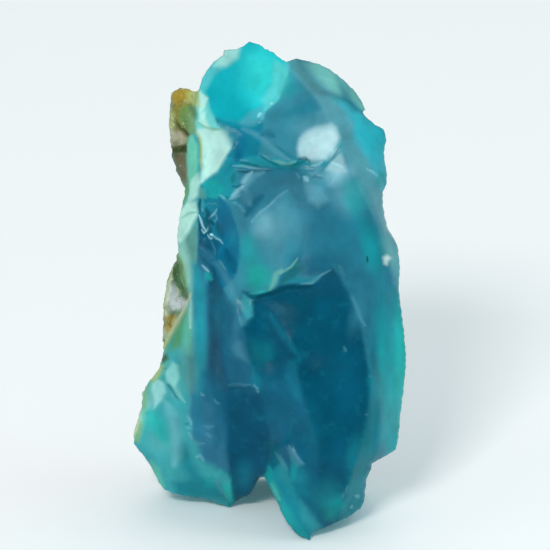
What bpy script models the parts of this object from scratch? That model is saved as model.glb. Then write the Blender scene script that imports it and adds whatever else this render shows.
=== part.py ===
"""Chrysocolla specimen: one broken block of gem chrysocolla with its rind, standing on two feet.

The stone is described in its own broad plane: u runs across it, v up along it, w out of its
front.  Every landmark is (u, v, w) in millimetres.  Ridges split the front and the back into
fracture facets; each facet is stretched over its ridges like a membrane and dished or domed a
little, as conchoidal fractures are.  The two sheets share the outline, and the whole stone leans
back on its feet.
"""
import math

import bmesh
import bpy
import numpy as np
from mathutils import Vector
from mathutils.geometry import delaunay_2d_cdt

MM = 0.001
LEAN_DEG = 18.0          # the broad face leans back from upright by this much
SPACING = 2.1            # distance between mesh points inside a facet, mm
RIDGE_STEP = 1.6         # distance between mesh points along a ridge, mm
RIM_STEP = 1.7           # longest mesh edge along the outline, mm
JOIN_REACH = 0.75        # a ridge that ends this close to another line is joined to it, mm
CLEAR_OF_LINES = 0.62    # facet points keep this share of SPACING away from every ridge

SIN_LEAN = math.sin(math.radians(LEAN_DEG))
COS_LEAN = math.cos(math.radians(LEAN_DEG))


def floor(u, v):
    """Return a landmark of the stone that touches what it stands on."""
    return (u, v, -v * COS_LEAN / SIN_LEAN)


# The outline, clockwise from the top, in named runs.
OUTLINE = {
    "thin tip": [(-5.2, 100.2, -6.0), (-3.4, 99.6, -5.8), (-2.0, 98.8, -5.6), (-0.4, 97.8, -5.2),
                 (0.8, 96.8, -4.8), (2.2, 96.0, -4.5)],
    "top shoulder": [(3.4, 96.5, -5.4), (4.2, 96.8, -6.0), (7.0, 96.2, -7.5), (9.0, 95.6, -8.5),
                     (11.0, 94.6, -9.0), (12.6, 93.6, -9.5), (14.0, 92.4, -9.8),
                     (15.4, 91.0, -9.8), (16.4, 89.8, -9.4), (17.6, 88.0, -8.6),
                     (18.2, 86.4, -7.2), (17.7, 85.8, -5.8)],
    "right bump": [(18.2, 85.2, -6.0), (20.0, 83.6, -7.0), (21.8, 82.7, -7.6), (22.2, 82.0, -7.8),
                   (22.4, 80.2, -7.6), (21.9, 77.8, -7.0), (22.2, 75.8, -6.6), (22.6, 73.8, -6.0),
                   (22.5, 71.4, -5.0), (21.8, 69.8, -3.6)],
    "right waist": [(21.8, 67.2, -3.2), (22.2, 64.6, -3.0), (22.8, 62.6, -3.2),
                    (24.2, 60.4, -4.4), (24.8, 58.8, -5.0), (25.2, 55.2, -5.8)],
    "right edge": [(25.0, 50.2, -6.0), (25.5, 46.2, -6.4), (26.0, 42.2, -6.8), (26.4, 37.8, -7.0),
                   (26.4, 34.2, -7.2), (26.0, 30.2, -7.4), (25.4, 25.8, -7.8),
                   (24.9, 20.2, -8.6), (24.4, 18.0, -9.4)],
    "right undercut": [(22.8, 17.0, -8.4), (19.7, 15.4, -5.0), (19.4, 14.2, -5.4),
                       (18.6, 12.2, -6.2), (18.3, 10.2, -7.0), (18.2, 8.2, -8.0)],
    "right foot": [(17.2, 6.2, -8.4), (15.0, 4.6, -6.6), (13.0, 3.8, -4.4), (10.0, 2.4, -2.0),
                   (7.6, 1.4, -1.2), floor(7.0, 0.0), (5.0, 0.8, -0.6), (3.6, 1.8, -1.0),
                   (2.4, 3.4, -1.4), (1.6, 4.8, -1.8)],
    "notch": [(0.0, 8.0, -3.0), (-1.4, 10.8, -5.4), (-2.2, 12.6, -9.0), (-3.0, 12.2, -11.5),
              (-3.8, 10.6, -14.0), (-4.8, 9.0, -16.5), (-5.8, 8.4, -17.4)],
    "left foot": [(-7.8, 7.4, -18.6), floor(-9.2, 6.2), (-11.0, 6.8, -19.2), (-13.0, 7.6, -19.6),
                  (-15.0, 8.0, -19.8), (-19.0, 8.6, -19.8), (-20.6, 9.0, -19.4)],
    "left lobe": [(-22.4, 9.8, -19.0), (-23.6, 11.2, -18.6), (-25.2, 14.6, -17.6),
                  (-26.6, 16.6, -17.2), (-28.6, 19.2, -17.0), (-28.6, 21.4, -16.6),
                  (-27.8, 24.0, -16.0), (-27.0, 26.8, -15.6), (-26.8, 29.4, -15.4),
                  (-25.6, 31.8, -14.6), (-24.0, 33.8, -13.4), (-23.4, 34.8, -13.0),
                  (-23.0, 36.8, -12.6), (-22.4, 38.2, -12.2)],
    "lower rind": [(-23.0, 40.2, -18.0), (-22.6, 43.2, -18.6), (-22.8, 46.6, -18.8),
                   (-22.4, 50.2, -18.4), (-21.6, 53.2, -17.6), (-20.6, 55.8, -16.6)],
    "left flank": [(-19.6, 57.8, -11.0), (-19.8, 60.2, -10.6), (-19.4, 63.8, -10.0),
                   (-19.0, 66.8, -9.6), (-18.2, 70.6, -9.4)],
    "upper rind": [(-19.0, 71.8, -13.0), (-20.0, 74.2, -14.6), (-21.0, 76.8, -15.6),
                   (-21.2, 80.2, -16.0), (-21.4, 83.2, -16.0), (-21.4, 87.8, -15.6),
                   (-20.8, 89.8, -15.0), (-19.2, 91.0, -14.0), (-17.4, 90.6, -12.6),
                   (-15.8, 90.0, -11.0)],
    "tip, left": [(-15.2, 90.5, -6.0), (-14.8, 92.6, -5.6), (-13.8, 94.2, -5.6),
                  (-12.4, 96.0, -5.8), (-10.4, 97.4, -6.0), (-10.2, 98.4, -6.2),
                  (-7.4, 98.7, -6.0), (-6.2, 99.4, -6.0)],
}

FRONT_RIDGES = {
    "tip scar, right": [(2.2, 96.0, -4.5), (2.6, 95.0, -3.6), (2.4, 93.8, -3.0),
                        (1.8, 92.2, -2.2), (0.8, 89.2, -1.4), (0.0, 87.8, -1.0),
                        (-2.0, 86.2, -0.8), (-2.6, 84.4, -0.4)],
    "tip scar, lower": [(-2.6, 84.4, -0.4), (-5.0, 84.0, -0.6), (-8.6, 84.2, -1.4),
                        (-10.6, 84.6, -2.0), (-12.2, 84.8, -2.6), (-13.0, 86.2, -3.2),
                        (-13.4, 88.6, -4.0), (-15.2, 90.5, -6.0)],
    "window sill": [(-12.2, 84.8, -2.6), (-11.7, 83.4, -2.2), (-10.2, 82.2, -1.6)],
    "window crack": [(-15.8, 82.4, -4.6), (-14.0, 82.6, -3.9), (-12.2, 82.4, -3.0),
                     (-10.2, 82.2, -1.6)],
    "window, right": [(-10.2, 82.2, -1.6), (-9.2, 80.6, -1.0), (-8.6, 79.0, -0.6),
                      (-9.8, 77.0, -1.0), (-11.4, 74.2, -1.8), (-12.8, 73.2, -2.6),
                      (-15.0, 71.4, -4.0)],
    "green seam": [(-15.8, 82.4, -4.6), (-14.9, 80.2, -4.3), (-14.8, 77.2, -4.2),
                   (-14.4, 75.2, -4.0), (-14.8, 73.8, -4.2), (-15.0, 71.4, -4.0)],
    "seam foot": [(-15.8, 82.4, -4.6), (-15.9, 85.6, -5.4), (-15.2, 90.5, -6.0)],
    "left edge, upper": [(-15.8, 82.4, -4.6), (-16.9, 80.4, -6.4), (-17.5, 78.2, -8.0),
                         (-17.7, 75.8, -8.8), (-17.6, 73.2, -9.0), (-18.2, 70.6, -9.4)],
    "rind crease, upper": [(-15.8, 90.0, -11.0), (-16.6, 87.2, -12.0), (-17.0, 84.6, -12.8),
                           (-17.8, 81.8, -13.6), (-18.6, 78.6, -14.2), (-18.7, 75.6, -14.2),
                           (-18.5, 73.4, -13.4), (-19.0, 71.8, -13.0)],
    "rind knob": [(-17.4, 90.6, -12.6), (-18.4, 88.4, -12.8), (-19.4, 86.0, -13.4),
                  (-19.2, 83.4, -13.8), (-17.8, 81.8, -13.6)],
    "rind pit": [(-21.4, 83.2, -16.0), (-20.0, 82.2, -15.4), (-18.6, 78.6, -14.2)],
    "left arris": [(-15.0, 71.4, -4.0), (-15.3, 69.2, -3.6), (-15.6, 66.2, -3.4),
                   (-15.7, 62.2, -3.4), (-15.8, 58.2, -3.6), (-16.4, 52.2, -4.2),
                   (-16.9, 48.2, -4.8), (-17.2, 44.2, -5.4), (-17.6, 39.2, -6.2),
                   (-17.6, 35.2, -6.8), (-17.4, 31.2, -7.6), (-17.0, 28.2, -8.2),
                   (-17.4, 25.2, -9.0), (-16.8, 23.2, -9.4), (-17.0, 20.8, -10.0)],
    "rough line": [(-17.0, 20.8, -10.0), (-15.6, 19.2, -10.2), (-15.2, 17.2, -10.8),
                   (-14.0, 15.6, -11.2), (-11.0, 14.2, -11.6), (-9.2, 13.4, -10.8)],
    "left edge, lower": [(-19.6, 57.8, -11.0), (-18.4, 55.8, -9.4), (-17.9, 53.2, -8.0),
                         (-18.0, 50.4, -7.6), (-18.2, 48.2, -7.8), (-19.0, 45.4, -8.6),
                         (-20.0, 43.2, -9.6), (-21.0, 41.4, -10.6), (-22.4, 38.2, -12.2)],
    "rind crease, lower": [(-20.6, 55.8, -16.6), (-19.2, 54.4, -16.6), (-18.8, 51.6, -16.6),
                           (-19.0, 48.4, -16.8), (-19.8, 45.6, -17.0), (-20.8, 43.2, -17.2),
                           (-21.8, 41.4, -17.4), (-23.0, 40.2, -18.0)],
    "rind rib": [(-20.6, 55.8, -16.6), (-20.9, 53.0, -15.8), (-21.4, 50.0, -15.8),
                 (-21.8, 46.6, -16.0), (-21.6, 43.4, -16.6), (-21.8, 41.4, -17.4)],
    "lobe margin": [(-22.4, 38.2, -12.2), (-21.8, 36.4, -11.2), (-22.0, 34.4, -11.4),
                    (-24.0, 31.4, -12.6), (-25.6, 28.6, -13.6), (-25.8, 25.8, -13.8),
                    (-26.8, 22.6, -14.8), (-28.6, 21.4, -16.6)],
    "lobe crest": [(-25.8, 25.8, -13.8), (-23.0, 24.2, -11.6), (-21.6, 22.8, -11.0),
                   (-20.6, 20.8, -10.8), (-20.0, 18.6, -11.0), (-19.8, 16.2, -11.9),
                   (-20.6, 13.6, -13.8)],
    "lobe leaf": [(-24.0, 31.4, -12.6), (-22.2, 30.2, -10.6), (-23.0, 28.2, -11.2),
                  (-25.8, 25.8, -13.8)],
    "lobe dark line": [(-22.0, 34.4, -11.4), (-20.6, 32.4, -9.9), (-20.0, 30.4, -9.6),
                       (-19.4, 28.2, -9.6)],
    "splinter hollow": [(-11.0, 68.9, -0.7), (-11.6, 66.4, -1.7), (-12.0, 64.2, -2.4),
                        (-11.5, 61.8, -2.0), (-10.9, 59.8, -1.3), (-11.6, 57.6, -1.5),
                        (-12.6, 55.8, -1.8)],
    "splinter, upper": [(-15.6, 66.2, -3.4), (-14.6, 63.4, -4.4), (-13.2, 61.6, -4.0),
                        (-10.9, 59.8, -1.3)],
    "splinter, lower": [(-15.8, 58.2, -3.6), (-13.9, 57.0, -3.4), (-12.6, 55.8, -1.8)],
    "blue face, right": [(-11.0, 68.9, -0.7), (-9.2, 67.0, 0.9), (-8.4, 65.0, 1.9),
                         (-7.7, 63.0, 2.8), (-7.2, 60.8, 3.4), (-7.0, 58.2, 3.8),
                         (-7.2, 55.8, 3.6), (-8.2, 52.6, 3.0), (-10.4, 50.4, 2.0)],
    "blue face, top": [(-15.0, 71.4, -4.0), (-13.0, 70.4, -2.3), (-11.0, 68.9, -0.7),
                       (-7.8, 67.4, 1.8), (-6.0, 65.8, 3.4), (-4.6, 64.2, 4.8)],
    "dome ridge": [(-4.6, 64.2, 4.8), (-2.4, 66.2, 5.0), (-0.6, 67.8, 4.9), (2.4, 70.2, 4.6),
                   (4.4, 67.2, 5.4), (5.2, 63.2, 6.2), (5.0, 59.2, 6.7), (4.6, 56.6, 7.0)],
    "step, top": [(-9.8, 77.0, -1.0), (-7.0, 76.4, 0.8), (-3.4, 77.0, 2.2), (-0.6, 76.6, 2.9),
                  (1.8, 76.2, 3.5), (4.0, 75.9, 4.0), (5.4, 76.4, 4.2), (7.4, 76.4, 4.4),
                  (10.4, 76.6, 4.6), (11.6, 78.2, 4.6), (13.0, 80.6, 4.5)],
    "step, foot": [(-11.4, 74.2, -1.8), (-8.2, 74.6, -0.8), (-4.0, 74.9, 0.7), (-0.6, 74.8, 1.7),
                   (2.0, 75.0, 2.4), (4.4, 74.8, 3.0), (5.8, 75.3, 3.3), (7.6, 75.2, 3.6),
                   (10.2, 75.2, 3.9), (13.9, 77.2, 4.6)],
    "step, chip": [(-8.2, 74.6, -0.8), (-6.6, 72.6, 0.4), (-7.6, 70.4, 0.6), (-7.8, 67.4, 1.8)],
    "rough fan": [(4.4, 74.8, 3.0), (6.6, 72.2, 4.4), (9.4, 70.8, 4.9), (11.6, 72.0, 4.9),
                  (13.9, 77.2, 4.6)],
    "upper face, left": [(-2.6, 84.4, -0.4), (-2.4, 81.2, 1.0), (-2.9, 78.8, 1.7),
                         (-3.4, 77.0, 2.2)],
    "upper face, brow": [(-2.0, 86.2, -0.8), (2.0, 84.4, 1.5), (5.4, 82.4, 2.9), (8.0, 82.7, 3.4),
                         (11.6, 83.0, 4.0)],
    "long ridge": [(2.6, 95.0, -3.6), (5.0, 92.6, -1.6), (7.0, 90.2, 0.2), (9.0, 87.8, 1.8),
                   (10.4, 85.2, 3.2), (11.6, 83.0, 4.0), (13.0, 80.6, 4.5), (13.6, 78.6, 4.6),
                   (15.2, 74.2, 4.8), (17.2, 70.2, 4.4), (19.6, 65.8, 3.4), (20.8, 63.2, 2.4),
                   (22.0, 60.2, 1.0), (22.8, 57.8, -0.4), (23.6, 54.4, -2.4),
                   (24.4, 51.2, -4.4), (25.2, 48.6, -6.1)],
    "band, outer": [(4.2, 96.8, -6.0), (5.4, 93.8, -4.0), (7.2, 91.6, -2.4), (9.4, 89.8, -1.2),
                    (12.0, 87.9, -0.2), (14.2, 86.0, 0.3), (15.4, 83.6, 0.9),
                    (16.0, 80.2, 2.0), (18.0, 77.2, 2.0), (20.4, 73.2, 0.6), (21.8, 69.8, -3.6)],
    "shoulder line": [(9.4, 89.8, -1.2), (12.0, 89.2, -2.2), (14.4, 88.2, -3.4),
                      (16.2, 86.9, -4.8), (17.7, 85.8, -5.8)],
    "shoulder slope": [(7.0, 96.2, -7.5), (8.6, 93.6, -5.2), (11.0, 91.2, -3.8),
                       (14.4, 88.2, -3.4)],
    "lip, left": [(-8.2, 52.6, 3.0), (-6.9, 50.6, 4.6), (-5.2, 49.7, 5.6), (-3.4, 49.6, 6.3),
                  (-0.6, 50.1, 7.2), (0.4, 51.0, 7.5), (1.0, 53.0, 7.7), (2.8, 54.3, 7.5),
                  (4.6, 56.6, 7.0)],
    "lip, right": [(0.4, 51.0, 7.5), (1.8, 51.2, 7.0), (3.4, 51.5, 7.1), (6.0, 51.4, 7.5),
                   (7.8, 51.6, 7.7), (9.0, 52.8, 7.6), (10.6, 53.9, 7.3), (11.8, 54.9, 7.0)],
    "lip foot": [(-6.0, 48.7, 3.6), (-4.6, 48.4, 3.8), (-1.8, 48.8, 4.3), (0.2, 49.4, 4.6),
                 (3.4, 50.2, 5.0), (6.2, 50.1, 5.4), (8.2, 50.3, 5.8), (9.7, 51.7, 6.2),
                 (11.8, 54.9, 7.0)],
    "wedge, right": [(-6.9, 50.6, 4.6), (-6.0, 48.7, 3.6), (-5.0, 46.8, 4.0),
                     (-5.2, 45.0, 4.3), (-6.8, 43.2, 4.8)],
    "wedge, left": [(-12.6, 55.8, -1.8), (-11.6, 53.2, 0.4), (-10.4, 50.4, 2.0),
                    (-8.6, 47.6, 3.6), (-7.7, 45.4, 4.4), (-6.8, 43.2, 4.8)],
    "strip, outer": [(-12.6, 55.8, -1.8), (-13.4, 51.6, -1.9), (-13.4, 48.2, -1.9),
                     (-13.4, 40.2, -2.4), (-13.2, 34.2, -3.1), (-12.4, 28.6, -4.0)],
    "strip, inner": [(-10.4, 50.4, 2.0), (-10.7, 47.4, 1.5), (-10.6, 42.2, 1.8),
                     (-10.6, 36.2, 1.4), (-10.0, 32.8, 0.8), (-9.4, 30.9, 0.5)],
    "middle ridge": [(-6.8, 43.2, 4.8), (-5.8, 40.8, 4.9), (-5.2, 37.4, 4.7), (-4.2, 34.2, 4.2),
                     (-3.6, 30.8, 3.4)],
    "ledge": [(-12.4, 28.6, -4.0), (-11.0, 30.2, -1.6), (-9.4, 30.9, 0.5), (-7.0, 31.3, 1.9),
              (-4.8, 31.3, 3.0), (-3.6, 30.8, 3.4)],
    "ledge foot": [(-12.4, 28.6, -4.0), (-9.4, 29.7, -1.9), (-7.0, 30.1, -0.6),
                   (-5.0, 29.9, 0.4), (-3.6, 30.8, 3.4)],
    "navy face, left": [(-12.4, 28.6, -4.0), (-11.4, 27.2, -3.6), (-10.6, 25.2, -3.6),
                        (-10.2, 22.2, -4.4), (-9.8, 17.2, -7.0), (-9.2, 15.2, -8.8),
                        (-9.2, 13.4, -10.8), (-8.6, 10.4, -14.2), (-7.8, 7.4, -18.6)],
    "flake": [(-9.2, 13.4, -10.8), (-11.0, 13.6, -11.8), (-12.4, 12.8, -13.4),
              (-11.6, 11.2, -14.5), (-10.6, 9.4, -16.2), (-9.2, 6.2, -19.1)],
    "right mass edge": [(-3.6, 30.8, 3.4), (-2.8, 28.2, 0.6), (-1.5, 24.2, -1.4),
                        (-0.9, 19.2, -3.4), (-1.2, 15.2, -6.0), (-2.2, 12.6, -9.0)],
    "pocket, upper": [(-5.2, 45.0, 4.3), (-4.6, 48.4, 3.8)],
    "pocket, right": [(-4.6, 48.4, 3.8), (-0.6, 45.8, 4.6), (1.0, 43.8, 5.0), (2.2, 41.2, 5.3),
                      (3.4, 39.2, 5.5), (4.0, 37.6, 5.6), (3.2, 36.0, 5.2)],
    "pocket, lower": [(-5.0, 36.0, 4.6), (-3.4, 35.4, 3.0), (-1.4, 35.4, 2.8),
                      (1.4, 35.8, 3.8), (3.2, 36.0, 5.2)],
    "deep scar, left": [(3.2, 36.0, 5.2), (4.4, 33.2, 5.4), (5.6, 29.2, 5.5), (6.8, 25.2, 5.4),
                        (7.8, 21.2, 5.0), (8.6, 16.2, 4.2), (8.8, 13.2, 3.6), (8.4, 9.8, 3.0),
                        (9.2, 5.6, 1.8), (10.0, 2.4, -2.0)],
    "deep scar, strip": [(2.2, 41.2, 5.3), (4.8, 38.4, 5.2), (7.0, 36.6, 4.4)],
    "right ridge": [(11.8, 54.9, 7.0), (13.8, 52.2, 6.8), (15.4, 49.0, 6.6), (16.6, 46.2, 6.5),
                    (17.4, 43.2, 6.4), (18.2, 39.2, 6.2), (19.0, 35.2, 5.9), (20.0, 31.2, 5.3),
                    (20.6, 28.2, 4.5), (21.0, 24.2, 3.0), (21.0, 20.2, 0.6),
                    (20.6, 17.6, -2.0), (19.7, 15.4, -5.0)],
    "deep scar, right": [(19.0, 35.2, 5.9), (19.2, 31.6, 5.8), (18.9, 28.2, 5.5),
                         (18.0, 23.2, 4.9), (17.0, 19.6, 4.3), (16.0, 16.4, 3.6),
                         (15.2, 13.4, 2.8), (14.2, 9.8, 1.4), (13.2, 6.8, -0.4),
                         (13.0, 3.8, -4.4)],
    "foot bevel, left": [(-1.2, 15.2, -6.0), (-0.2, 12.2, -2.2), (1.8, 8.2, 0.6),
                         (3.8, 4.6, 1.4), (5.4, 2.2, 1.2), (7.0, 0.0, 0.0)],
    "foot band": [(3.0, 12.6, 1.8), (4.4, 9.2, 2.3), (6.4, 6.0, 2.1), (8.0, 4.0, 1.5),
                  (10.0, 2.4, -2.0)],
    "foot flake": [(-0.4, 19.6, -2.6), (1.0, 17.2, -0.6), (2.4, 14.6, 1.0), (3.0, 12.6, 1.8),
                   (4.6, 13.4, 2.9), (5.4, 15.2, 3.4), (4.2, 17.2, 3.3), (2.4, 19.4, 2.9)],
}

# How far the middle of a facet stands out of (+) or is dished into (-) its ridges, mm.
FRONT_FACETS = {
    "tip scar": ((-6.0, 91.0), -0.9),
    "upper window": ((-13.9, 85.0), 0.2),
    "lower window": ((-12.0, 78.0), 0.5),
    "edge wall": ((-17.6, 80.8), 0.0),
    "upper rind": ((-19.9, 86.5), 0.8),
    "rind hollow": ((-19.6, 77.9), -0.3),
    "rind wall": ((-17.4, 86.8), 0.0),
    "lower rind": ((-20.7, 48.9), -0.7),
    "rind rib": ((-22.0, 47.6), 0.1),
    "rind crevice": ((-18.6, 48.9), 0.0),
    "left side": ((-18.8, 33.1), 1.2),
    "lobe leaf": ((-24.4, 28.9), 0.3),
    "lobe margin": ((-25.8, 29.3), 0.2),
    "hackly hollow": ((-12.8, 66.4), -0.5),
    "splinter bed": ((-13.7, 60.7), -0.3),
    "blue face": ((-9.7, 59.3), -0.5),
    "chip face": ((-9.3, 71.4), -0.4),
    "dome": ((-1.3, 59.4), 1.5),
    "right dome": ((14.3, 54.8), 2.0),
    "upper face": ((4.0, 80.6), 0.4),
    "upper face, left": ((-6.6, 80.6), -0.8),
    "brow": ((4.0, 87.9), -0.7),
    "band": ((16.4, 75.8), 0.2),
    "right bump": ((18.7, 80.6), 0.9),
    "shoulder": ((12.6, 91.7), 0.5),
    "shoulder slope": ((8.5, 92.5), -0.2),
    "step wall": ((1.1, 75.8), 0.0),
    "rough fan": ((9.4, 74.3), -0.3),
    "wedge": ((-7.2, 49.0), 0.2),
    "lip wall": ((2.3, 50.4), 0.0),
    "left face": ((-14.7, 33.4), 0.3),
    "middle strip": ((-11.9, 41.3), -0.4),
    "lilac strip": ((-7.6, 38.8), -0.3),
    "pocket": ((-1.3, 41.2), -1.4),
    "deep scar": ((10.2, 32.1), -1.5),
    "long face": ((4.0, 22.4), -0.5),
    "ledge wall": ((-7.8, 30.4), 0.0),
    "navy face": ((-5.5, 19.4), -0.7),
    "flake": ((-10.3, 10.3), 0.2),
    "foot edge": ((1.6, 7.4), 0.0),
    "foot band": ((3.3, 9.4), -0.2),
    "right foot": ((17.4, 15.8), 0.5),
}

BACK_RIDGES = {
    "spine": [(-5.2, 100.2, -6.0), (-5.0, 95.0, -11.0), (-3.0, 88.0, -15.4), (0.0, 80.0, -19.4),
              (2.4, 70.0, -24.4), (1.2, 60.0, -28.4), (-1.0, 50.0, -31.2), (1.0, 40.0, -33.2),
              (3.2, 30.0, -35.0), (2.2, 20.0, -36.4), floor(0.5, 11.4)],
    "upper right": [(2.4, 70.0, -24.4), (8.0, 72.4, -21.6), (14.0, 73.4, -17.6),
                    (19.0, 72.6, -12.0), (22.5, 71.4, -5.0)],
    "middle right": [(1.0, 40.0, -33.2), (8.0, 43.4, -30.6), (15.0, 44.6, -26.2),
                     (21.0, 45.4, -18.4), (25.5, 46.2, -6.4)],
    "right shoulder": [(14.0, 73.4, -17.6), (17.2, 64.0, -19.6), (19.4, 55.0, -20.6),
                       (21.0, 45.4, -18.4)],
    "upper left": [(-1.0, 50.0, -31.2), (-7.0, 54.0, -28.8), (-13.0, 57.0, -24.6),
                   (-17.0, 58.8, -18.4), (-19.6, 57.8, -11.0)],
    "lobe back": [(3.2, 30.0, -35.0), (-5.0, 28.4, -33.8), (-13.0, 27.4, -31.0),
                  (-20.0, 28.4, -26.0), (-24.4, 29.2, -20.6), (-26.8, 29.4, -15.4)],
    "lower right": [(2.2, 20.0, -36.4), (8.0, 22.0, -34.6), (14.0, 21.4, -30.4),
                    (19.0, 19.4, -23.0), (22.8, 17.0, -8.4)],
    "rind top": [(-3.0, 88.0, -15.4), (-8.4, 86.6, -18.0), (-14.0, 84.4, -20.0),
                 (-18.2, 82.2, -19.8), (-21.4, 83.2, -16.0)],
    "rind border": [(-14.0, 84.4, -20.0), (-12.6, 76.0, -22.8), (-11.6, 67.0, -25.4),
                    (-13.0, 57.0, -24.6)],
    "rind border, lower": [(-13.0, 57.0, -24.6), (-14.4, 48.0, -26.6), (-16.4, 38.0, -27.6),
                           (-20.0, 28.4, -26.0)],
    "rind ledge": [(-18.2, 82.2, -19.8), (-18.0, 76.0, -20.4), (-16.6, 70.0, -20.8),
                   (-18.2, 70.6, -9.4)],
    "right foot, side": [floor(7.0, 0.0), floor(7.6, 2.8), floor(10.2, 5.0), floor(14.2, 7.8),
                         floor(16.2, 10.4)],
    "right foot, heel": [floor(16.2, 10.4), floor(12.0, 11.4), floor(6.0, 11.6),
                         floor(0.5, 11.4)],
    "right foot, inner": [floor(0.5, 11.4), floor(1.9, 8.6), floor(3.7, 5.0), floor(5.4, 2.2),
                          floor(7.0, 0.0)],
    "left foot, inner": [floor(-9.2, 6.2), floor(-7.6, 8.6), floor(-5.2, 11.0)],
    "left foot, heel": [floor(-5.2, 11.0), floor(-9.0, 12.0), floor(-14.0, 12.2),
                        floor(-19.2, 11.4)],
    "left foot, side": [floor(-19.2, 11.4), floor(-16.0, 10.1), floor(-12.4, 8.8),
                        floor(-10.2, 7.5), floor(-9.2, 6.2)],
    "arch": [floor(0.5, 11.4), (-2.0, 14.0, -37.0), floor(-5.2, 11.0)],
    "arch roof": [(-2.2, 12.6, -9.0), (-2.1, 13.1, -22.0), (-2.0, 14.0, -37.0)],
    "arch back": [(-2.0, 14.0, -37.0), (-3.4, 20.0, -35.8), (-5.0, 28.4, -33.8)],
    "right heel": [floor(16.2, 10.4), (18.4, 14.6, -26.5), (19.0, 19.4, -23.0)],
    "left heel": [floor(-14.0, 12.2), (-14.6, 19.0, -34.0), (-13.0, 27.4, -31.0)],
    "lobe shoulder": [floor(-19.2, 11.4), (-22.0, 15.6, -29.0), (-23.6, 21.6, -25.4),
                      (-24.4, 29.2, -20.6)],
}

BACK_FACETS = {
    "top right": ((8.0, 84.0), -1.4),
    "right flank": ((20.0, 62.0), -0.8),
    "upper right": ((10.0, 58.0), -2.4),
    "lower right": ((14.0, 34.0), -1.8),
    "top left": ((-10.0, 92.0), -0.8),
    "upper left": ((-6.0, 72.0), -2.0),
    "middle left": ((-8.0, 42.0), -2.2),
    "rind, upper": ((-15.4, 76.0), 1.0),
    "rind, middle": ((-16.8, 64.0), 0.8),
    "rind, lower": ((-20.0, 46.0), 1.2),
    "left lobe": ((-25.6, 20.0), 0.6),
    "left lobe, inner": ((-18.6, 20.0), -1.0),
    "heel, left": ((-9.0, 20.0), -1.0),
    "heel, right": ((10.0, 16.0), -0.8),
}


def ruled(points, step):
    """Return the landmarks with straight runs cut so that no stretch is longer than step."""
    out = []
    for start, end in zip(points[:-1], points[1:]):
        start, end = np.array(start), np.array(end)
        count = max(1, math.ceil(np.linalg.norm((end - start)[:2]) / step))
        out += [start + (end - start) * i / count for i in range(count)]
    return out + [np.array(points[-1])]


def curved(points, step):
    """Return points along a Catmull-Rom curve through the landmarks, ends included."""
    if len(points) < 3:
        return ruled(points, step)
    marks = [np.array(p, dtype=float) for p in points]
    marks = [2 * marks[0] - marks[1]] + marks + [2 * marks[-1] - marks[-2]]
    out = []
    for a, b, c, d in zip(marks, marks[1:], marks[2:], marks[3:]):
        count = max(1, round(np.linalg.norm((c - b)[:2]) / step))
        for i in range(count):
            t = i / count
            out.append(0.5 * (2 * b + (c - a) * t + (2 * a - 5 * b + 4 * c - d) * t ** 2
                              + (3 * b - a - 3 * c + d) * t ** 3))
    return out + [marks[-2]]


def outline_points():
    """Return the whole outline as one closed run of points, without repeating the first."""
    marks = [mark for run in OUTLINE.values() for mark in run]
    return ruled(marks + marks[:1], RIM_STEP)[:-1]


def on_plane_side(points):
    return np.array([p[:2] for p in points])


def inside(polygon, points):
    """Say for each point whether it lies inside the closed polygon."""
    x, y = points[:, 0], points[:, 1]
    result = np.zeros(len(points), dtype=bool)
    for (x0, y0), (x1, y1) in zip(polygon, np.roll(polygon, -1, axis=0)):
        if y0 == y1:
            continue
        crosses = (y0 > y) != (y1 > y)
        result ^= crosses & (x < (x1 - x0) * (y - y0) / (y1 - y0) + x0)
    return result


def joined_lines(ridges, rim):
    """Return the rim and every ridge as index runs into one list of shared points."""
    points = [np.array(p) for p in rim]
    runs = [list(range(len(rim))) + [0]]
    for marks in ridges.values():
        line = curved(marks, RIDGE_STEP)
        placed = on_plane_side(points)
        run = []
        for k, p in enumerate(line):
            gap = np.linalg.norm(placed - p[:2], axis=1)
            nearest = int(gap.argmin())
            at_end = k in (0, len(line) - 1)
            if gap[nearest] < (JOIN_REACH if at_end else 0.45 * JOIN_REACH):
                if not run or run[-1] != nearest:
                    run.append(nearest)
            else:
                run.append(len(points))
                points.append(p)
        runs.append(run)
    return points, runs


def facet_points(points, rim):
    """Return evenly spaced points inside the outline that keep clear of every line."""
    lines = on_plane_side(points)
    low, high = lines.min(axis=0), lines.max(axis=0)
    row_height = SPACING * math.sqrt(3) / 2
    rows = []
    for j in range(int((high[1] - low[1]) / row_height) + 1):
        shift = SPACING / 2 * (j % 2)
        across = np.arange(low[0] + shift, high[0], SPACING)
        rows.append(np.column_stack([across, np.full(len(across), low[1] + j * row_height)]))
    grid = np.vstack(rows)
    grid = grid[inside(on_plane_side(rim), grid)]
    gap = np.linalg.norm(grid[:, None, :] - lines[None, :, :], axis=2).min(axis=1)
    return grid[gap > CLEAR_OF_LINES * SPACING]


def chord_middles(verts, faces, from_verts, rim_count):
    """Return the middle of every inner edge that would bridge two points of the rim."""
    rim = {i for i, sources in enumerate(from_verts) if any(k < rim_count for k in sources)}
    seen = {}
    for face in faces:
        for a, b in zip(face, face[1:] + face[:1]):
            seen[frozenset((a, b))] = seen.get(frozenset((a, b)), 0) + 1
    return [(verts[a] + verts[b]) / 2 for (a, b), uses in
            ((tuple(side), uses) for side, uses in seen.items())
            if uses == 2 and a in rim and b in rim]


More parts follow.
